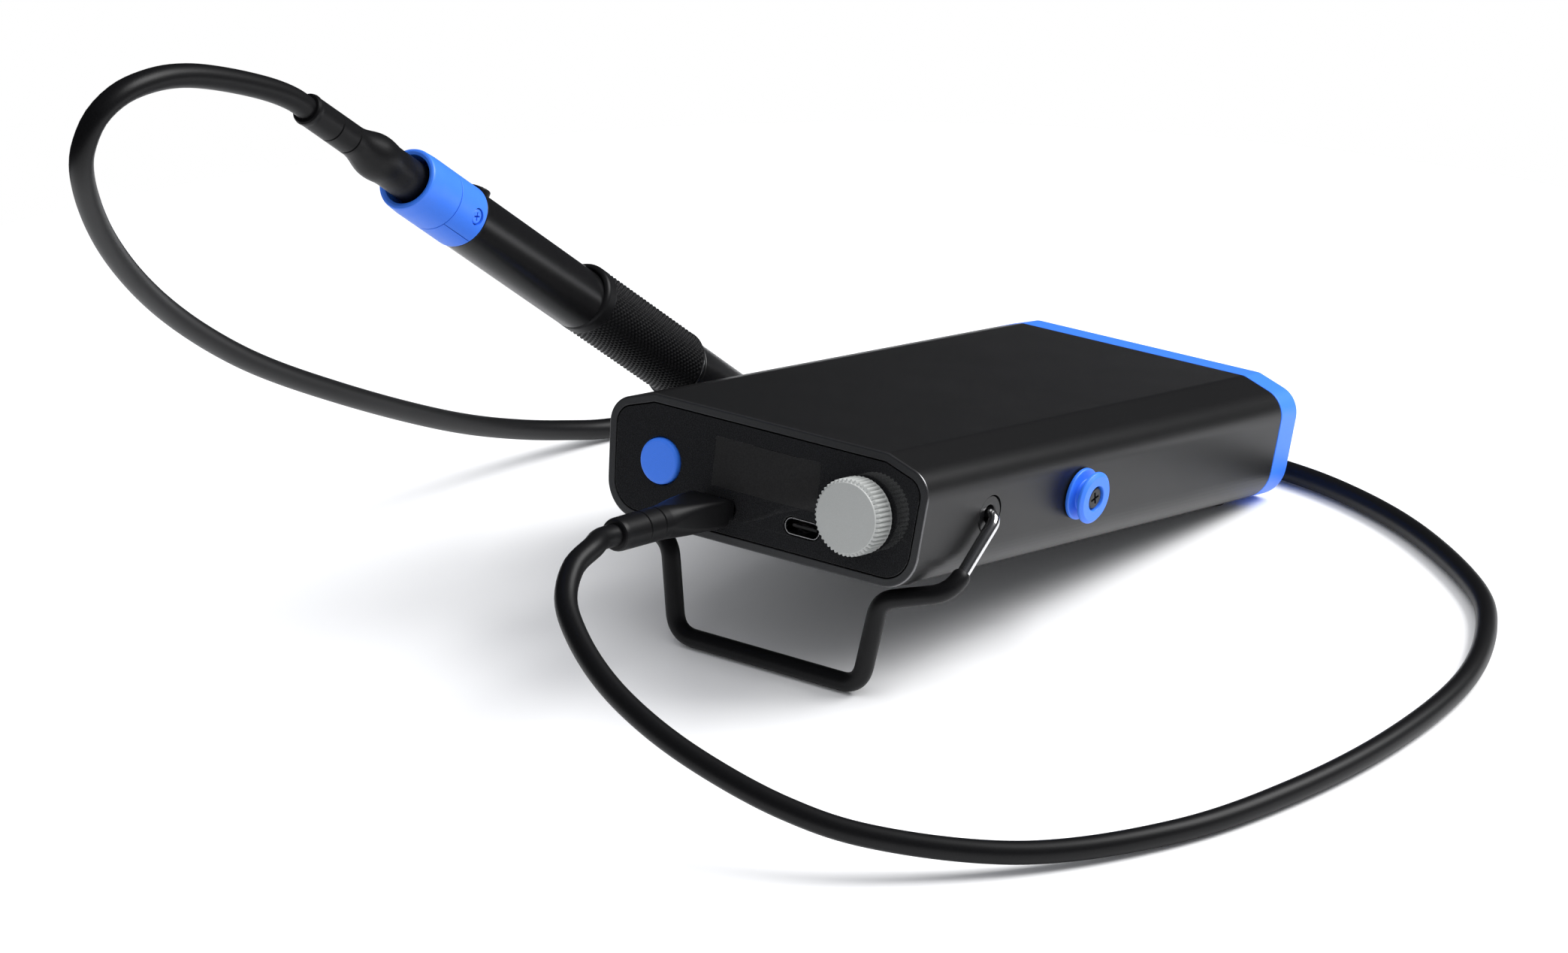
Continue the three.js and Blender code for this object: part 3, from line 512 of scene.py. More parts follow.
def even(line, step):
    """The same line with its points the same distance apart."""
    along = np.concatenate([[0], np.cumsum(np.linalg.norm(np.diff(line, axis=0), axis=1))])
    stations = np.linspace(0, along[-1], max(2, round(along[-1] / step) + 1))
    return np.stack([np.interp(stations, along, line[:, k]) for k in range(3)], axis=-1), along[-1]


def behind(place, *distances):
    """Points on a plug's own axis."""
    return placed(np.array([[0, 0, d] for d in distances]), place)


cable_points = np.vstack([
    behind(IRON_PLUG, IRON_PLUG_END - 1.5, IRON_PLUG_END + 5),
    ROUTE,
    behind(STATION_PLUG, STATION_PLUG_END + 5, STATION_PLUG_END - 1.5),
])
cable_line, cable_length = even(catmull_rom(cable_points), 2.0)
print(f"cable: {cable_length:.0f} mm long, {len(cable_line)} points")


# %% A round tube along a line
def tube(line, radius, around=32):
    """P(u, v) = line(v) + r(v) (cos u N(v) + sin u B(v)). N and B stand square to the line; each
    N is the one before it, laid square to the new direction, so the tube never twists."""
    along = np.gradient(line, axis=0)
    along /= np.linalg.norm(along, axis=1)[:, None]
    across = np.empty_like(line)
    last = np.cross(along[0], (0.31, 0.17, 0.93))
    for v, direction in enumerate(along):
        last = last - (last @ direction) * direction
        last /= np.linalg.norm(last)
        across[v] = last
    third = np.cross(along, across)
    u = np.linspace(0, TURN, around, endpoint=False)[:, None, None]
    r = np.broadcast_to(radius, len(line))[None, :, None]
    return line[None] + r * (np.cos(u) * across[None] + np.sin(u) * third[None])


CABLE_DIAMETER = 5.1
cable = skin("cable", tube(cable_line, CABLE_DIAMETER / 2, 28), np.eye(4))
complete(cable, "cable_iron_side", "cable_station_side", ride=False)

# %% [markdown]
# ## Plugs
# Both ends are moulded over a USB-C plug. At the station it is a flat box with rounded corners
# that narrows to a round strain relief; at the iron it is round all along, with a bulge. The
# strain reliefs have two fine ring grooves and a soft lip where the cable leaves.

# %% Plug at the station
def grooved(low, high, grooves, radius_at, depth=0.28, width=0.5):
    """(r, z) along a round wall, with a V groove of that depth and width at each height."""
    z = np.unique(np.concatenate(
        [np.linspace(low, high, 40)] + [g + width * np.linspace(-0.5, 0.5, 5) for g in grooves]
    ))
    cut = sum(np.clip(1 - np.abs(z - g) / (width / 2), 0, 1) for g in grooves)
    return z, radius_at(z) - depth * cut


def station_plug():
    """Rounded rectangles carried along z. The width falls and the height grows in a straight
    line, and the corner radius grows with the square of the way until the outline is a circle."""
    way = np.linspace(0, 1, 12)
    half_width, half_height = 5.6 - 1.67 * way, 3.2 + 0.73 * way
    radius = 0.85 + (half_height - 0.86) * way ** 2
    flat = [
        (0.0, 4.7, 2.2, 0.7), (0.2, 4.9, 2.4, 0.9), (2.2, 4.95, 2.5, 0.9), (2.35, 5.3, 2.85, 0.8),
        (2.6, 5.52, 3.12, 0.83),
    ]
    flat += list(zip(2.9 + 18.1 * way, half_width, half_height, np.minimum(radius, half_height - 0.005)))
    z, r = grooved(21.3, 36.8, (23.8, 29.2), lambda z: 3.92 - 0.006 * (z - 21.3))
    relief = [(a, b, b, b - 1e-3) for a, b in zip(z, r)]
    lip = [(z, r, r, r - 0.01) for z, r in ((37.4, 3.78), (37.9, 3.62), (38.15, 3.35), (38.2, 2.7))]
    return loft(flat + relief + lip)


def shell_grid(half_width, half_height, radius, wall, low, high):
    """The skin of an open-ended shell: out along the outer wall, back along the inner one."""
    outer = soft_rectangle(half_width, half_height, radius)
    inner = soft_rectangle(half_width - wall, half_height - wall, radius - wall)
    edge = 0.06
    rings = [
        (outer, low + edge), (outer, high - edge), (outer * 0.995, high), (inner * 1.005, high),
        (inner, high - edge), (inner, low + edge), (inner * 1.005, low), (outer * 0.995, low),
    ]
    return np.stack([np.column_stack([line, np.full(len(line), z)]) for line, z in rings], axis=1)


def plug_shell(end, place):
    """The plug's thin steel shell, in front of its moulding."""
    shell = skin(f"plug_shell_{end}", shell_grid(4.17, 1.28, 1.2, 0.3, -5.6, 0.4), place, True)
    complete(shell, f"plug_{end}", look="bright_steel")


plug_station = skin("plug_moulding_station", station_plug(), STATION_PLUG)
complete(plug_station, "plug_station", sharp=28)
plug_shell("station", STATION_PLUG)

# %% Plug at the iron
def iron_plug():
    """A turned profile: a straight front, a bulge, a shoulder and the grooved relief."""
    front = rounded([(4.3, 0, 0), (4.7, 0, 0.3), (4.7, 10, 0.4)])[:-1]
    body_z = np.array([10, 13, 14.5, 15.8, 17, 18.5, 20, 21.5, 23, 24.5, 26, 27.2, 28.5])
    body_r = np.array([4.68, 4.66, 4.68, 4.78, 4.96, 5.1, 5.1, 4.92, 4.55, 4.15, 3.8, 3.58, 3.5])
    z = np.linspace(10, 28.5, 60)
    body = np.column_stack([np.interp(z, body_z, body_r), z])
    blur = np.ones(5) / 5
    body[2:-2, 0] = np.convolve(body[:, 0], blur, "valid")
    relief_z, relief_r = grooved(28.7, 45.2, (30.4, 37.2), lambda z: 3.5 - 0.002 * (z - 28.7))
    lip = np.array([(3.55, 45.6), (3.6, 46.1), (3.5, 46.6), (3.2, 46.95), (2.7, 47.0)])
    return np.vstack([front, body, np.column_stack([relief_r, relief_z]), lip])


plug_iron = skin("plug_moulding_iron", lathe(iron_plug()), IRON_PLUG)
complete(plug_iron, "plug_iron", sharp=28)
plug_shell("iron", IRON_PLUG)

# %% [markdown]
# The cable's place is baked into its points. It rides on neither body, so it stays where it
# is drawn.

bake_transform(cable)

# %% [markdown]
# ## Housing
# The sleeve is one extrusion with a six-sided section. Its surface is the section carried along
# y, where each step of the way also says how far the section is drawn in: that one number makes
# the wall, the chamfers and the rounded rims.

# %% The section
BOX_CORNERS = [
    (-42.5, 0, 9), (42.5, 0, 9), (44.5, 26.3, 6.5), (32.4, 30.2, 4), (-32.4, 30.2, 4), (-44.5, 26.3, 6.5),
]


def section_line(steps=14):
    """The section's outline with its outward normals. On an arc the normal is (p - centre) / r,
    and it turns evenly from one side's normal to the next one's."""
    line, normals = [], []
    count = len(BOX_CORNERS)
    for i, (x, z, radius) in enumerate(BOX_CORNERS):
        here = np.array([x, z], float)
        before = here - BOX_CORNERS[i - 1][:2]
        after = np.array(BOX_CORNERS[(i + 1) % count][:2]) - here
        first = math.atan2(before[1], before[0]) - math.pi / 2
        sweep = (math.atan2(after[1], after[0]) - math.pi / 2 - first) % TURN
        bisector = first + sweep / 2
        centre = here - radius / math.cos(sweep / 2) * np.array([math.cos(bisector), math.sin(bisector)])
        angle = first + sweep * np.linspace(0, 1, steps)
        outward = np.stack([np.cos(angle), np.sin(angle)], axis=-1)
        line.append(centre + radius * outward)
        normals.append(outward)
    both = guarded(np.column_stack([np.vstack(line), np.vstack(normals)]), closed=True, reach=0.3)
    return both[:, :2], both[:, 2:]


SECTION, SECTION_NORMAL = section_line()


def carried(steps):
    """P(u, v) = section(u) - inset(v) normal(u), at y(v), for (inset, y) steps."""
    inset, y = np.asarray(steps, float).T
    flat = SECTION[:, None] - inset[None, :, None] * SECTION_NORMAL[:, None]
    return np.stack([flat[..., 0], np.broadcast_to(y, flat.shape[:2]), flat[..., 1]], axis=-1)


# %% Sleeve
SLEEVE_END, BOX_END, WALL = 154.7, 162.6, 2.0
sleeve_steps = rounded([
    (0, SLEEVE_END / 2, 0), (0, SLEEVE_END, 0.2), (WALL, SLEEVE_END, 0.2), (WALL, 0, 0.15), (0, 0, 0.45),
], closed=True, steps=3)
sleeve = skin("housing_sleeve_skin", carried(sleeve_steps), close_v=True)
SIDE_Z, PIVOT_Y, STUD_Y = 15.1, 27.0, 64.5
side_x = 42.5 + 2.0 * SIDE_Z / 26.3
side_lean = math.atan2(2.0, 26.3)
carve(
    sleeve,
    plug_of(4.5, -50, 50, STATION @ shift(0, PIVOT_Y, SIDE_Z) @ Z_TO_X),
    plug_of(1.9, -50, 50, STATION @ shift(0, STUD_Y, SIDE_Z) @ Z_TO_X),
)


def second_look(piece, place, axis, low, high, look):
    """Gives the faces whose centres lie between two heights along a place's axis another finish."""
    piece.data.materials.append(FINISHES[look])
    centres = np.empty(len(piece.data.polygons) * 3)
    piece.data.polygons.foreach_get("center", centres)
    local = placed(centres.reshape(-1, 3) / MM, np.linalg.inv(place))[:, axis]
    index = np.zeros(len(local), np.int32)
    piece.data.polygons.foreach_get("material_index", index)
    index[(local > low) & (local < high)] = len(piece.data.materials) - 1
    piece.data.polygons.foreach_set("material_index", index)


complete(sleeve, "housing_sleeve")
second_look(sleeve, STATION, 1, -1, 0.12, "cut_rim")
second_look(sleeve, STATION, 1, 0.12, 0.5, "cut_edge")

# %% [markdown]
# The blue rear cap closes the sleeve with a hair gap. Its two long screws sit in counterbores,
# which are carved out of the closed skin.

# %% Rear cap
cap_from = SLEEVE_END + 0.3
cap_steps = rounded([
    (3.9, BOX_END - 2.4, 0), (3.8, cap_from - 5.2, 0.1), (2.3, cap_from - 5.2, 0.4), (2.3, cap_from, 0.1),
    (0, cap_from, 0.2), (0, BOX_END, 0.6), (3.3, BOX_END, 0),
], steps=4)
rear_cap = skin("rear_cap_skin", carried(cap_steps))
CAP_SCREW_X, CAP_SCREW_Z = 31.5, 9.0
for sign in SIDES.values():
    at = STATION @ shift(sign * CAP_SCREW_X, 0, CAP_SCREW_Z) @ Z_TO_Y
    carve(rear_cap, plug_of(2.9, BOX_END - 1.6, BOX_END + 2, at), plug_of(1.7, 140, BOX_END + 2, at, 32))
complete(rear_cap, "rear_cap")

# %% [markdown]
# ## Plates with holes
# The front panel is a flat plate with round and long holes. A filled flat curve makes such a
# plate, with its edges broken by a fine bevel, more simply than cutting a solid would.

# %% Plate maker
def circle_line(radius, x=0.0, z=0.0, count=72):
    """(x, z) points evenly round a circle."""
    angle = np.linspace(0, TURN, count, endpoint=False)
    return np.stack([x + radius * np.cos(angle), z + radius * np.sin(angle)], axis=-1)


def plate(name, outlines, low, high, edge):
    """A plate of the station between two depths y with the first outline as its rim and the others as holes.
    The curve's own bevel grows the outline by its radius, so the curve is offset back by it."""
    flat = bpy.data.curves.new(name, "CURVE")
    flat.dimensions = "2D"
    flat.fill_mode = "BOTH"
    flat.extrude = ((high - low) / 2 - edge) * MM
    flat.bevel_depth = edge * MM
    flat.bevel_resolution = 2
    flat.offset = -edge * MM
    for line in outlines:
        spline = flat.splines.new("POLY")
        spline.points.add(len(line) - 1)
        rows = np.column_stack([line * MM, np.zeros(len(line)), np.ones(len(line))])
        spline.points.foreach_set("co", rows.ravel())
        spline.use_cyclic_u = True
    drawn = linked(name, flat)
    mesh = bpy.data.meshes.new_from_object(drawn.evaluated_get(bpy.context.evaluated_depsgraph_get()))
    bpy.data.objects.remove(drawn)
    points = np.empty(len(mesh.vertices) * 3)
    mesh.vertices.foreach_get("co", points)
    points = points.reshape(-1, 3)
    # the curve's flat x and y are the station's x and z, and its thickness lies along y
    stood = np.stack([points[:, 0], points[:, 2] + (low + high) / 2 * MM, points[:, 1]], axis=-1)
    stood = placed(stood / MM, STATION) * MM
    mesh.vertices.foreach_set("co", stood.ravel())
    tidy = bmesh.new()
    tidy.from_mesh(mesh)
    bmesh.ops.remove_doubles(tidy, verts=tidy.verts, dist=1e-6)
    bmesh.ops.recalc_face_normals(tidy, faces=tidy.faces)
    tidy.to_mesh(mesh)
    tidy.free()
    mesh.materials.clear()
    return linked(name, mesh)


# %% Front panel and window
BUTTON_X, KNOB_X, CONTROL_Z = -28.6, 27.4, 15.1
PORT_X, PORT_Z = 11.7, 8.2
PORT_HOLE = (5.05, 2.23, 2.2)
panel_rim = SECTION - 2.3 * SECTION_NORMAL
screen_at = np.array([0.5, 18.3])
panel = plate(
    "front_panel_plate",
    [
        panel_rim,
        circle_line(5.65, BUTTON_X, CONTROL_Z),
        circle_line(3.8, KNOB_X, CONTROL_Z),
        soft_rectangle(*PORT_HOLE) + (-PORT_X, PORT_Z),
        soft_rectangle(*PORT_HOLE) + (PORT_X, PORT_Z),
        soft_rectangle(14.56, 5.71, 0.6) + screen_at,
    ],
    0.0, 2.4, 0.06,
)
complete(panel, "front_panel", sharp=10)
window = plate("display_pane", [soft_rectangle(14.53, 5.68, 0.58) + screen_at], 0.0, 1.2, 0.03)
complete(window, "display_window", sharp=10)

# %% [markdown]
# ## Controls
# The button and the knob's disc are turned. The knob's rim has 48 scallops: on the lathe formula
# that is a radius that also depends on the angle.

# %% Button and knob
turned("power_button_cap", "power_button", [
    (0.6, -1.1, 0), (5.35, -1.1, 0.75), (5.35, 2.8, 0), (6.3, 2.8, 0.2), (6.3, 3.6, 0.2), (1.5, 3.6, 0),
    (1.5, 5, 0),
], STATION @ shift(BUTTON_X, 0, CONTROL_Z) @ Z_TO_Y, steps=7)


def scalloped(profile, teeth, depth, full_from, full_to, around=480):
    """The lathe formula with r less depth (1 - |cos(teeth u / 2)|) between the toothed heights, so
    that the ridges are round and the valleys between them sharp."""
    r, h = np.asarray(profile, float).T
    u = np.linspace(0, TURN, around, endpoint=False)[:, None]
    inside = np.clip((h - full_from) / 0.4 + 1, 0, 1) * np.clip((full_to - h) / 0.3 + 1, 0, 1)
    inside = inside * np.clip((r - 7.95) / 0.5, 0, 1)
    r = r - depth * inside * (1 - np.abs(np.cos(teeth * u / 2)))
    return np.stack([r * np.cos(u), r * np.sin(u), h + 0 * u], axis=-1)


knob_profile = rounded([
    (1.0, -6.6, 0), (7.9, -6.6, 0.15), (8.05, -6.3, 0.1), (8.8, -5.8, 0.12), (8.8, -1.0, 0.25),
    (2.9, -1.0, 0.1), (2.9, -5.0, 0),
], steps=5)
dense = np.vstack([
    np.linspace(a, b, 2 if np.hypot(*(b - a)) < 0.6 else 5, endpoint=False)
    for a, b in zip(knob_profile[:-1], knob_profile[1:])
] + [knob_profile[-1:]])
knob_place = STATION @ shift(KNOB_X, 0, CONTROL_Z) @ Z_TO_Y
knob_rim = skin("knob_toothed", scalloped(dense, 48, 0.62, -6.1, -1.3), knob_place)
complete(knob_rim, "knob", sharp=38)

# %% [markdown]
# ## Ports
# A USB-C socket is a thin steel shell round a black tongue with fine contacts.

# %% Ports
def port(name, place, node_name):
    """A closed-back shell, its tongue and its contacts, with the mouth at z = 0."""
    complete(skin(name + "_shell", shell_grid(4.75, 1.93, 1.9, 0.2, -7, 0), place, True), node_name)
    solid = {
        "back": [(-6.95, 4.5, 1.7, 1.6), (-6.1, 4.5, 1.7, 1.6)],
        "tongue": [(-6.3, 3.35, 0.35, 0.1), (-1.1, 3.35, 0.35, 0.1), (-1.0, 3.25, 0.26, 0.1)],
    }
    for part, sections in solid.items():
        complete(skin(f"{name}_{part}", loft(sections), place), node_name, look="black_plastic")
    contact = [(-5.6, 0.13, 0.39, 0.02), (-1.7, 0.13, 0.39, 0.02), (-1.6, 0.11, 0.36, 0.02)]
    for i in range(12):
        at = place @ shift(-2.75 + 0.5 * i, 0, 0)
        complete(skin(f"{name}_contact_{i + 1}", loft(contact), at), node_name, look="nickel")


for side, sign in SIDES.items():
    at = STATION @ shift(sign * PORT_X, 0.2, PORT_Z) @ turn("x", math.pi / 2)
    port(f"socket_{side}", at, f"port_{side}")
port("socket_iron", IRON @ shift(0, 0, IRON_PORT_Z), "iron_port")

# %% [markdown]
# ## Stand
# One steel wire is bent to a frame with a flat bar, and a black sleeve is shrunk over all but its
# ends. The wire's line is straight runs with a smooth curve in each corner.

# %% The stand's line
LEG_DOWN = np.array([8.5 - PIVOT_Y, -4.7 - SIDE_Z])
LEG_DOWN = LEG_DOWN / np.linalg.norm(LEG_DOWN)


def on_leg(x, out):
    """A point of the upper leg at a distance from the pivot."""
    return (x, PIVOT_Y + LEG_DOWN[0] * out, SIDE_Z + LEG_DOWN[1] * out)


def bent(corners, steps=14):
    """Straight runs through (point, radius) corners. Each corner is the quadratic curve
    (1-t)^2 a + 2t(1-t) corner + t^2 b between the ends a and b of its arc."""
    points = [np.array([corners[0][0]])]
    start = points[0][0]
    for (corner, radius), (after, _) in zip(corners[1:-1], corners[2:]):
        corner, after = np.array(corner), np.array(after)
        inward = (corner - start) / np.linalg.norm(corner - start)
        outward = (after - corner) / np.linalg.norm(after - corner)
        back = radius * math.tan(math.acos(np.clip(inward @ outward, -1, 1)) / 2)
        a, b = corner - inward * back, corner + outward * back
        t = np.linspace(0, 1, steps)[:, None]
        points.append((1 - t) ** 2 * a + 2 * t * (1 - t) * corner + t**2 * b)
        start = b
    points.append(np.array([corners[-1][0]]))
    return np.vstack(points)


def stand_line(out):
    """Both halves of the wire from a distance out from the pivot, or from inside the walls."""
    slope = (45.2 - 45.8) / 21.6
    start = [(on_leg(36, 0), 0), (on_leg(45.8, 0), 3)] if out == 0 else [(on_leg(45.8 + slope * out, out), 0)]
    half = start + [(on_leg(45.2, 21.6), 7.5), (on_leg(29.4, 28), 5.5), ((25.8, BAR_Y, BAR_Z), 6)]
    mirrored = [((-x, y, z), radius) for (x, y, z), radius in half[::-1]]
    return bent(half + mirrored)


# %% Wire, sleeve and pivots
wire_line, _ = even(stand_line(0), 0.7)
complete(skin("stand_wire_rod", tube(wire_line, 1.5, 24)), "stand_wire")
sleeve_line, sleeve_length = even(stand_line(16.2), 0.7)
from_end = np.linspace(0, sleeve_length, len(sleeve_line))
from_end = np.minimum(from_end, sleeve_length - from_end)
sleeve_radius = SLEEVE_RADIUS - 0.35 * np.exp(-from_end / 0.25)
complete(skin("stand_sleeve_skin", tube(sleeve_line, sleeve_radius, 28)), "stand_sleeve")
for side, sign in SIDES.items():
    turned(f"pivot_bush_{side}", f"stand_bush_{side}", [
        (1.8, 39.3, 0), (5.6, 39.3, 0), (5.6, 40.7, 0), (4.28, 40.7, 0), (4.28, side_x - 0.02, 0.2),
        (2.2, side_x - 0.02, 0.35), (1.8, 41.5, 0),
    ], STATION @ shift(0, PIVOT_Y, SIDE_Z) @ turn("y", sign * math.pi / 2), closed=True, steps=4)

# %% [markdown]
# ## Studs, screws and feet
# A screw's cross recess is a cross-shaped cutter that narrows with depth.

# %% Cross-head screws
def cross_cutter(reach, width, depth, place):
    """A twelve-cornered cross, carried down z while it shrinks to two thirds."""
    a, b = width / 2, reach
    corners = np.array([
        (b, -a), (b, a), (a, a), (a, b), (-a, b), (-a, a),
        (-b, a), (-b, -a), (-a, -a), (-a, -b), (a, -b), (a, -a),
    ])
    rings = [np.column_stack([corners * k, np.full(12, z)]) for z, k in ((0.5, 1.1), (-depth, 0.66))]
    return skin("cutter", np.stack(rings, axis=1), place)


def screw(name, node_name, head, shank, length, place):
    """A low round head with its top at z = 0 and a plain shank, carved with a cross."""
    turned(name, node_name, [
        (0.3, -length, 0), (shank, -length, 0.1), (shank, -1.2, 0), (head, -1.2, 0), (head, 0, head * 0.18),
        (head * 0.25, 0, 0),
    ], place, around=48, cutters=[
        cross_cutter(head * 0.64, head * 0.25, 0.85, place @ turn("z", 0.35)),
    ])


for side, sign in SIDES.items():
    wall = STATION @ shift(sign * side_x, STUD_Y, SIDE_Z)
    wall = wall @ turn("y", (0 if sign > 0 else math.pi) + sign * side_lean) @ Z_TO_X
    turned(f"stud_spool_{side}", f"stud_{side}", [
        (1.9, 0.3, 0), (6.15, 0.3, 0.25), (6.15, 1.25, 0.35), (3.7, 1.5, 0.3), (3.7, 3.35, 0.3),
        (6.15, 3.55, 0.3), (6.15, 4.3, 0.3), (5.35, 4.9, 0.4), (3.0, 4.9, 0.25), (2.75, 3.2, 0.1),
        (1.9, 3.2, 0),
    ], wall, closed=True, steps=4)
    screw(f"stud_cross_screw_{side}", f"stud_screw_{side}", 2.6, 1.5, 9, wall @ shift(0, 0, 4.5))
    at = STATION @ shift(sign * CAP_SCREW_X, BOX_END - 0.3, CAP_SCREW_Z) @ Z_TO_Y
    screw(f"rear_cross_screw_{side}", f"rear_cap_screw_{side}", 2.5, 1.5, 18, at)
    for end, y in (("front", 14.0), ("rear", 149.5)):
        turned(f"foot_pad_{end}_{side}", f"foot_{end}_{side}", [
            (0.5, -0.3, 0), (5, -0.3, 0.15), (5, -1.7, 0.25), (0.5, -1.7, 0),
        ], STATION @ shift(sign * 28.5, y, 0))

# %% [markdown]
# ## Cap
# The cap that holds the iron is a smooth tube with a closed, rounded end. On the station's side it
# has a block with a stepped slot, which hangs on the stud's flange.

# %% Cap and hanger
turned("cap_tube", "holder_cap", [
    (1.0, -57, 0), (7.9, -57, 1.4), (7.9, 0, 0.45), (6.5, 0, 0.3), (6.5, -55, 0.5), (1.0, -55, 0),
], IRON, steps=6)


def arch(name, half, low, high, foot, edge=0.0):
    """An outline with a round top of radius half about the stud's centre and straight sides down
    to its foot, carried along x. The edge shrinks both end outlines by that much."""
    angle = np.linspace(0, math.pi, 48)
    rings = []
    for x, inset in ((low, edge), (low + edge, 0), (high - edge, 0), (high, edge)):
        r = half - inset
        top = np.column_stack([r * np.cos(angle), -24 + r * np.sin(angle)])
        outline = np.vstack([top, [(-r, foot + inset), (r, foot + inset)]])
        rings.append(np.column_stack([np.full(len(outline), x), outline]))
    return skin(name, np.stack(rings, axis=1), IRON)


hanger = arch("cap_hanger", 8, 6.4, 11.95, -33, 0.3)
carve(
    hanger,
    plug_of(7.2, -60, 10, IRON, 96),
    arch("cutter", 6.5, 8.2, 11.2, -40),
    arch("cutter", 4.1, 11.0, 13, -40),
)
complete(hanger, "holder_cap")

# %% [markdown]
# ## Iron
# From the cap outwards: the tip in its socket, the nose, a bright ring, the knurled grip, the
# smooth barrel and the blue collar round the plug.

# %% Tip, nose and ring
turned("tip_rod", "tip", [
    (0.12, -50.4, 0), (0.3, -50.1, 0.1), (1.15, -46, 3), (2.4, -36, 4), (2.4, 22, 0),
], IRON, steps=6, around=48)
turned("nose_cone", "nose", [
    (2.8, -9, 0.1), (3.6, -9, 0.4), (5.3, -1, 1.5), (5.3, 1.1, 0.1), (2.8, 1.1, 0.1),
], IRON, closed=True)
turned("nose_bright_ring", "nose_ring", [
    (6.2, 0.3, 0.05), (7.7, 0.3, 0.12), (7.7, 0.95, 0.12), (6.2, 0.95, 0.05),
], IRON, closed=True)

# %% [markdown]
# The grip's knurl is two families of grooves that cross: each point stands out by the lower of
# two saw-tooth ridges, which leaves diamonds. It is real relief rather than a bump, because the
# grip's outline shows it.

# %% Knurled grip
GRIP_FROM, GRIP_TO, GRIP_RADIUS = 1.25, 47.0, 8.0


def knurled(around=288, lengthways=230, ridges=36, pitch=1.55, depth=0.3):
    """r = R - depth (1 - min(ridge(a), ridge(b))), with a and b = ridges u / 2 pi +- z / pitch and
    ridge(x) = 1 - |2 frac(x) - 1|, fading out towards the plain rear rim."""
    u = np.linspace(0, TURN, around, endpoint=False)[:, None]
    z = np.linspace(GRIP_FROM + 0.5, GRIP_TO - 2.6, lengthways)[None]
    ridge = [1 - np.abs(2 * np.mod(ridges * u / TURN + s * z / pitch, 1) - 1) for s in (1, -1)]
    height = np.clip(1.5 * np.minimum(*ridge), 0, 1)
    fade = np.clip((GRIP_TO - 3.6 - z) / 0.8, 0, 1) * np.clip((z - GRIP_FROM - 0.6) / 0.6, 0, 1)
    r = GRIP_RADIUS - depth * (1 - height) * fade
    rear = rounded([
        (GRIP_RADIUS, GRIP_TO - 2.4, 0), (GRIP_RADIUS, GRIP_TO, 1.2), (6.9, GRIP_TO, 0.2),
        (6.2, GRIP_TO - 0.6, 0), (6.2, GRIP_FROM, 0.0), (7.4, GRIP_FROM, 0.2),
        (GRIP_RADIUS - 0.1, GRIP_FROM + 0.3, 0),
    ], steps=6)
    ends = np.broadcast_to(rear[None], (around, len(rear), 2))
    r = np.concatenate([r, ends[..., 0]], axis=1)
    z = np.concatenate([np.broadcast_to(z, (around, lengthways)), ends[..., 1]], axis=1)
    return np.stack([r * np.cos(u), 0.9 + r * np.sin(u), z], axis=-1)


complete(skin("grip_knurled", knurled(), IRON, True), "grip_sleeve", sharp=75)

# %% Barrel
IRON_BUTTON = IRON @ shift(0, 0, 95.8) @ Z_TO_Y
turned("barrel_tube", "barrel", [
    (4.4, 1.5, 0), (5.9, 1.5, 0.2), (5.9, 46, 0), (6.8, 46.2, 0), (7.1, GRIP_TO, 0.2),
    (7.1, 98.5, 0.2), (5.7, 98.5, 0.1), (5.7, 104.9, 0.1), (4.4, 104.9, 0),
], IRON, closed=True, cutters=[plug_of(3.0, 3, 10, IRON_BUTTON, 48)])

# %% [markdown]
# The blue clamp is split lengthwise, so each half is one rounded wall section carried round part
# of a circle and closed at both ends. The ring behind it is turned whole.

# %% Clamp halves and lock ring
COLLAR_RADIUS, COLLAR_FROM, COLLAR_SEAM, COLLAR_TO = 7.35, 98.8, 109.6, 121.2
CLAMP_SCREW_Z, CLAMP_GAP, CLAMP_BORE, RING_BORE = 102, 0.012, 6.05, 5.45
EIGHTH = math.pi / 4


def arc_piece(name, wall, first, last, steps=72):
    """P(u, v): the wall's closed outline u of (r, z) pairs, turned to the angle v on the iron."""
    angle = np.linspace(first, last, steps)[None]
    r, z = wall[:, 0][:, None], wall[:, 1][:, None]
    grid = np.stack([r * np.cos(angle), r * np.sin(angle), z + 0 * angle], axis=-1)
    return skin(name, grid, IRON)


clamp_wall = rounded([
    (CLAMP_BORE, COLLAR_FROM, 0.05), (COLLAR_RADIUS, COLLAR_FROM, 0.35),
    (COLLAR_RADIUS, COLLAR_SEAM - 0.1, 0.12), (CLAMP_BORE, COLLAR_SEAM - 0.1, 0.05),
], closed=True)
upper = arc_piece("clamp_upper", clamp_wall, -EIGHTH + CLAMP_GAP, 5 * EIGHTH - CLAMP_GAP, 140)
carve(
    upper,
    plug_of(3.3, 3, 10, IRON_BUTTON),
    plug_of(1.95, -9, 9, IRON @ shift(0, 0, CLAMP_SCREW_Z) @ Z_TO_X, 48),
)
complete(upper, "collar_upper")
lower = arc_piece("clamp_lower", clamp_wall, 5 * EIGHTH + CLAMP_GAP, 7 * EIGHTH - CLAMP_GAP)
complete(lower, "collar_lower")
turned("lock_ring_turned", "lock_ring", [
    (RING_BORE, COLLAR_SEAM + 0.1, 0.05), (COLLAR_RADIUS, COLLAR_SEAM + 0.1, 0.12),
    (COLLAR_RADIUS, COLLAR_TO - 4, 15), (7.15, COLLAR_TO - 0.6, 0), (6.95, COLLAR_TO - 0.12, 0.3),
    (6.4, COLLAR_TO, 0.25), (5.7, COLLAR_TO - 0.3, 0.3), (RING_BORE, COLLAR_TO - 3, 0.5),
], IRON, closed=True, steps=6)
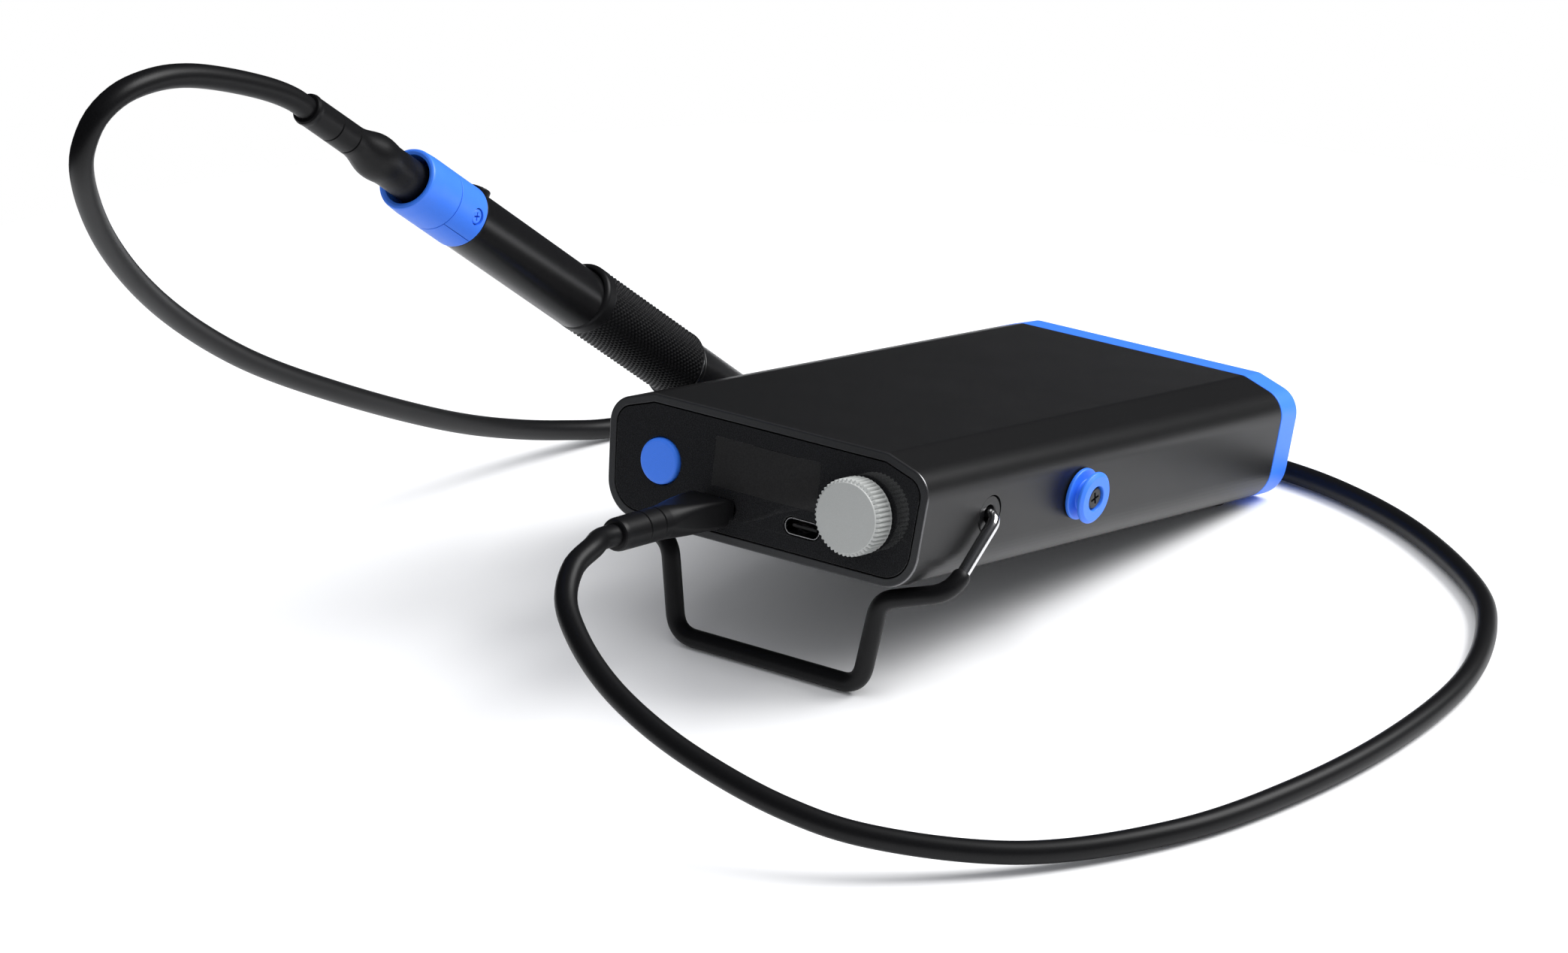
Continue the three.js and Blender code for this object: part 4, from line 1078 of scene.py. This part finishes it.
for side, sign in SIDES.items():
    at = IRON @ shift(sign * (COLLAR_RADIUS - 0.3), 0, CLAMP_SCREW_Z) @ turn("y", sign * math.pi / 2)
    screw(f"clamp_cross_screw_{side}", f"collar_screw_{side}", 1.65, 0.9, 1.3, at)

# %% [markdown]
# The iron's small button has ribs across its top: the height of the top is a cosine of x, and it
# fades out towards the rounded rim.

# %% Iron button
def ribbed(around=64, rings=26):
    """h = top + rib cos(2 pi x / pitch) on the disc, then down the rounded rim and the side."""
    u = np.linspace(0, TURN, around, endpoint=False)[:, None]
    r = np.linspace(0.05, 2.1, rings)[None]
    x = r * np.sin(u)
    h = 7.95 + 0.18 * np.cos(TURN * x / 1.05) * np.clip((2.1 - r) / 0.25, 0, 1)
    side = rounded([(2.15, 7.95, 0), (2.7, 7.95, 0.4), (2.7, 5, 0)], steps=5)
    ends = np.broadcast_to(side[None], (around, len(side), 2))
    r = np.concatenate([np.broadcast_to(r, (around, rings)), ends[..., 0]], axis=1)
    h = np.concatenate([h, ends[..., 1]], axis=1)
    return np.stack([r * np.cos(u), r * np.sin(u), h], axis=-1)


complete(skin("iron_button_ribbed", ribbed(), IRON_BUTTON), "iron_button")
turned("port_holder", "iron_port_holder", [
    (0.5, 105.6, 0), (5.25, 105.6, 0.3), (5.25, IRON_PORT_Z, 0.3), (0.5, IRON_PORT_Z, 0),
], IRON, cutters=[skin("cutter", loft([(106.9, *PORT_HOLE), (116, *PORT_HOLE)]), IRON)])

# %% [markdown]
# ## What stays as it is
# The pieces inside the box keep their mechanical shapes and take their finishes.

# %% Inner pieces
for name, thing in frame["nodes"].items():
    if not thing.hide_render:
        thing.data.materials.clear()
        thing.data.materials.append(FINISHES[node_slot[name]])

# %% [markdown]
# ## Floor and light
# Black gloss shows whatever stands round it, so a product studio keeps its walls dark and lights a
# white sweep from above. The floor is a white disc under a large overhead panel, which does not
# show in reflections; a panel at the right rear gives the highlights and the soft shadow to the
# front left. The world is white to the eye, grey as a light and nearly dark in reflections.

# %% Floor
FLOOR_RADIUS = 0.36
rim = circle_line(FLOOR_RADIUS, count=96)
floor_mesh = bpy.data.meshes.new("floor")
floor_mesh.from_pydata(np.column_stack([rim, np.full(96, -0.0002)]).tolist(), [], [list(range(96))])
floor = linked("floor", floor_mesh)
white = bpy.data.materials.new("pale_floor")
white.use_nodes = True
matte = white.node_tree.nodes["Principled BSDF"].inputs
matte["Base Color"].default_value = (0.93, 0.93, 0.935, 1)
matte["Roughness"].default_value = 0.7
matte["Specular IOR Level"].default_value = 0.2
floor.data.materials.append(white)

# %% World
world = bpy.data.worlds.new("studio")
bpy.context.scene.world = world
world.use_nodes = True
tree = world.node_tree
sky = {"Is Glossy Ray": (0.035, 0.036, 0.04, 1), "Is Camera Ray": (1.0, 1.0, 1.0, 1)}
rays = node(tree, "ShaderNodeLightPath")
shown = tree.nodes["Background"]
shown.inputs["Color"].default_value = (0.55, 0.56, 0.58, 1)
for ray, colour in sky.items():
    other = node(tree, "ShaderNodeBackground", {"Color": colour})
    shown = node(tree, "ShaderNodeMixShader", {
        0: rays.outputs[ray], 1: shown.outputs[0], 2: other.outputs[0],
    })
tree.links.new(shown.outputs[0], tree.nodes["World Output"].inputs["Surface"])
bpy.context.scene.view_settings.view_transform = "Standard"


# %% Panels of light
def panel_light(name, place, width, height, power):
    """A rectangle of light at a place in metres, facing the middle of the floor."""
    light = bpy.data.lights.new(name, "AREA")
    light.shape = "RECTANGLE"
    light.size, light.size_y, light.energy = width, height, power
    lamp = linked(name, light)
    away = np.array(place) / np.linalg.norm(place)
    side = np.cross((0, 0, 1), away)
    side /= np.linalg.norm(side)
    matrix = np.eye(4)
    matrix[:3, :3] = np.stack([side, np.cross(away, side), away], axis=1)
    matrix[:3, 3] = place
    lamp.matrix_world = Matrix(matrix.tolist())
    return lamp


panel_light("key", (0.58, 0.5, 0.82), 0.7, 0.6, 14)
overhead = panel_light("overhead", (0.1, -0.2, 1.1), 1.3, 1.0, 5)
overhead.visible_glossy = False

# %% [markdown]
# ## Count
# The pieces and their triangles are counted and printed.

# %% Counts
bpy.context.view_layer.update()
triangles = sum(sum(len(p.vertices) - 2 for p in thing.data.polygons) for thing in made_pieces)
print(len(made_pieces), "pieces,", triangles, "triangles")
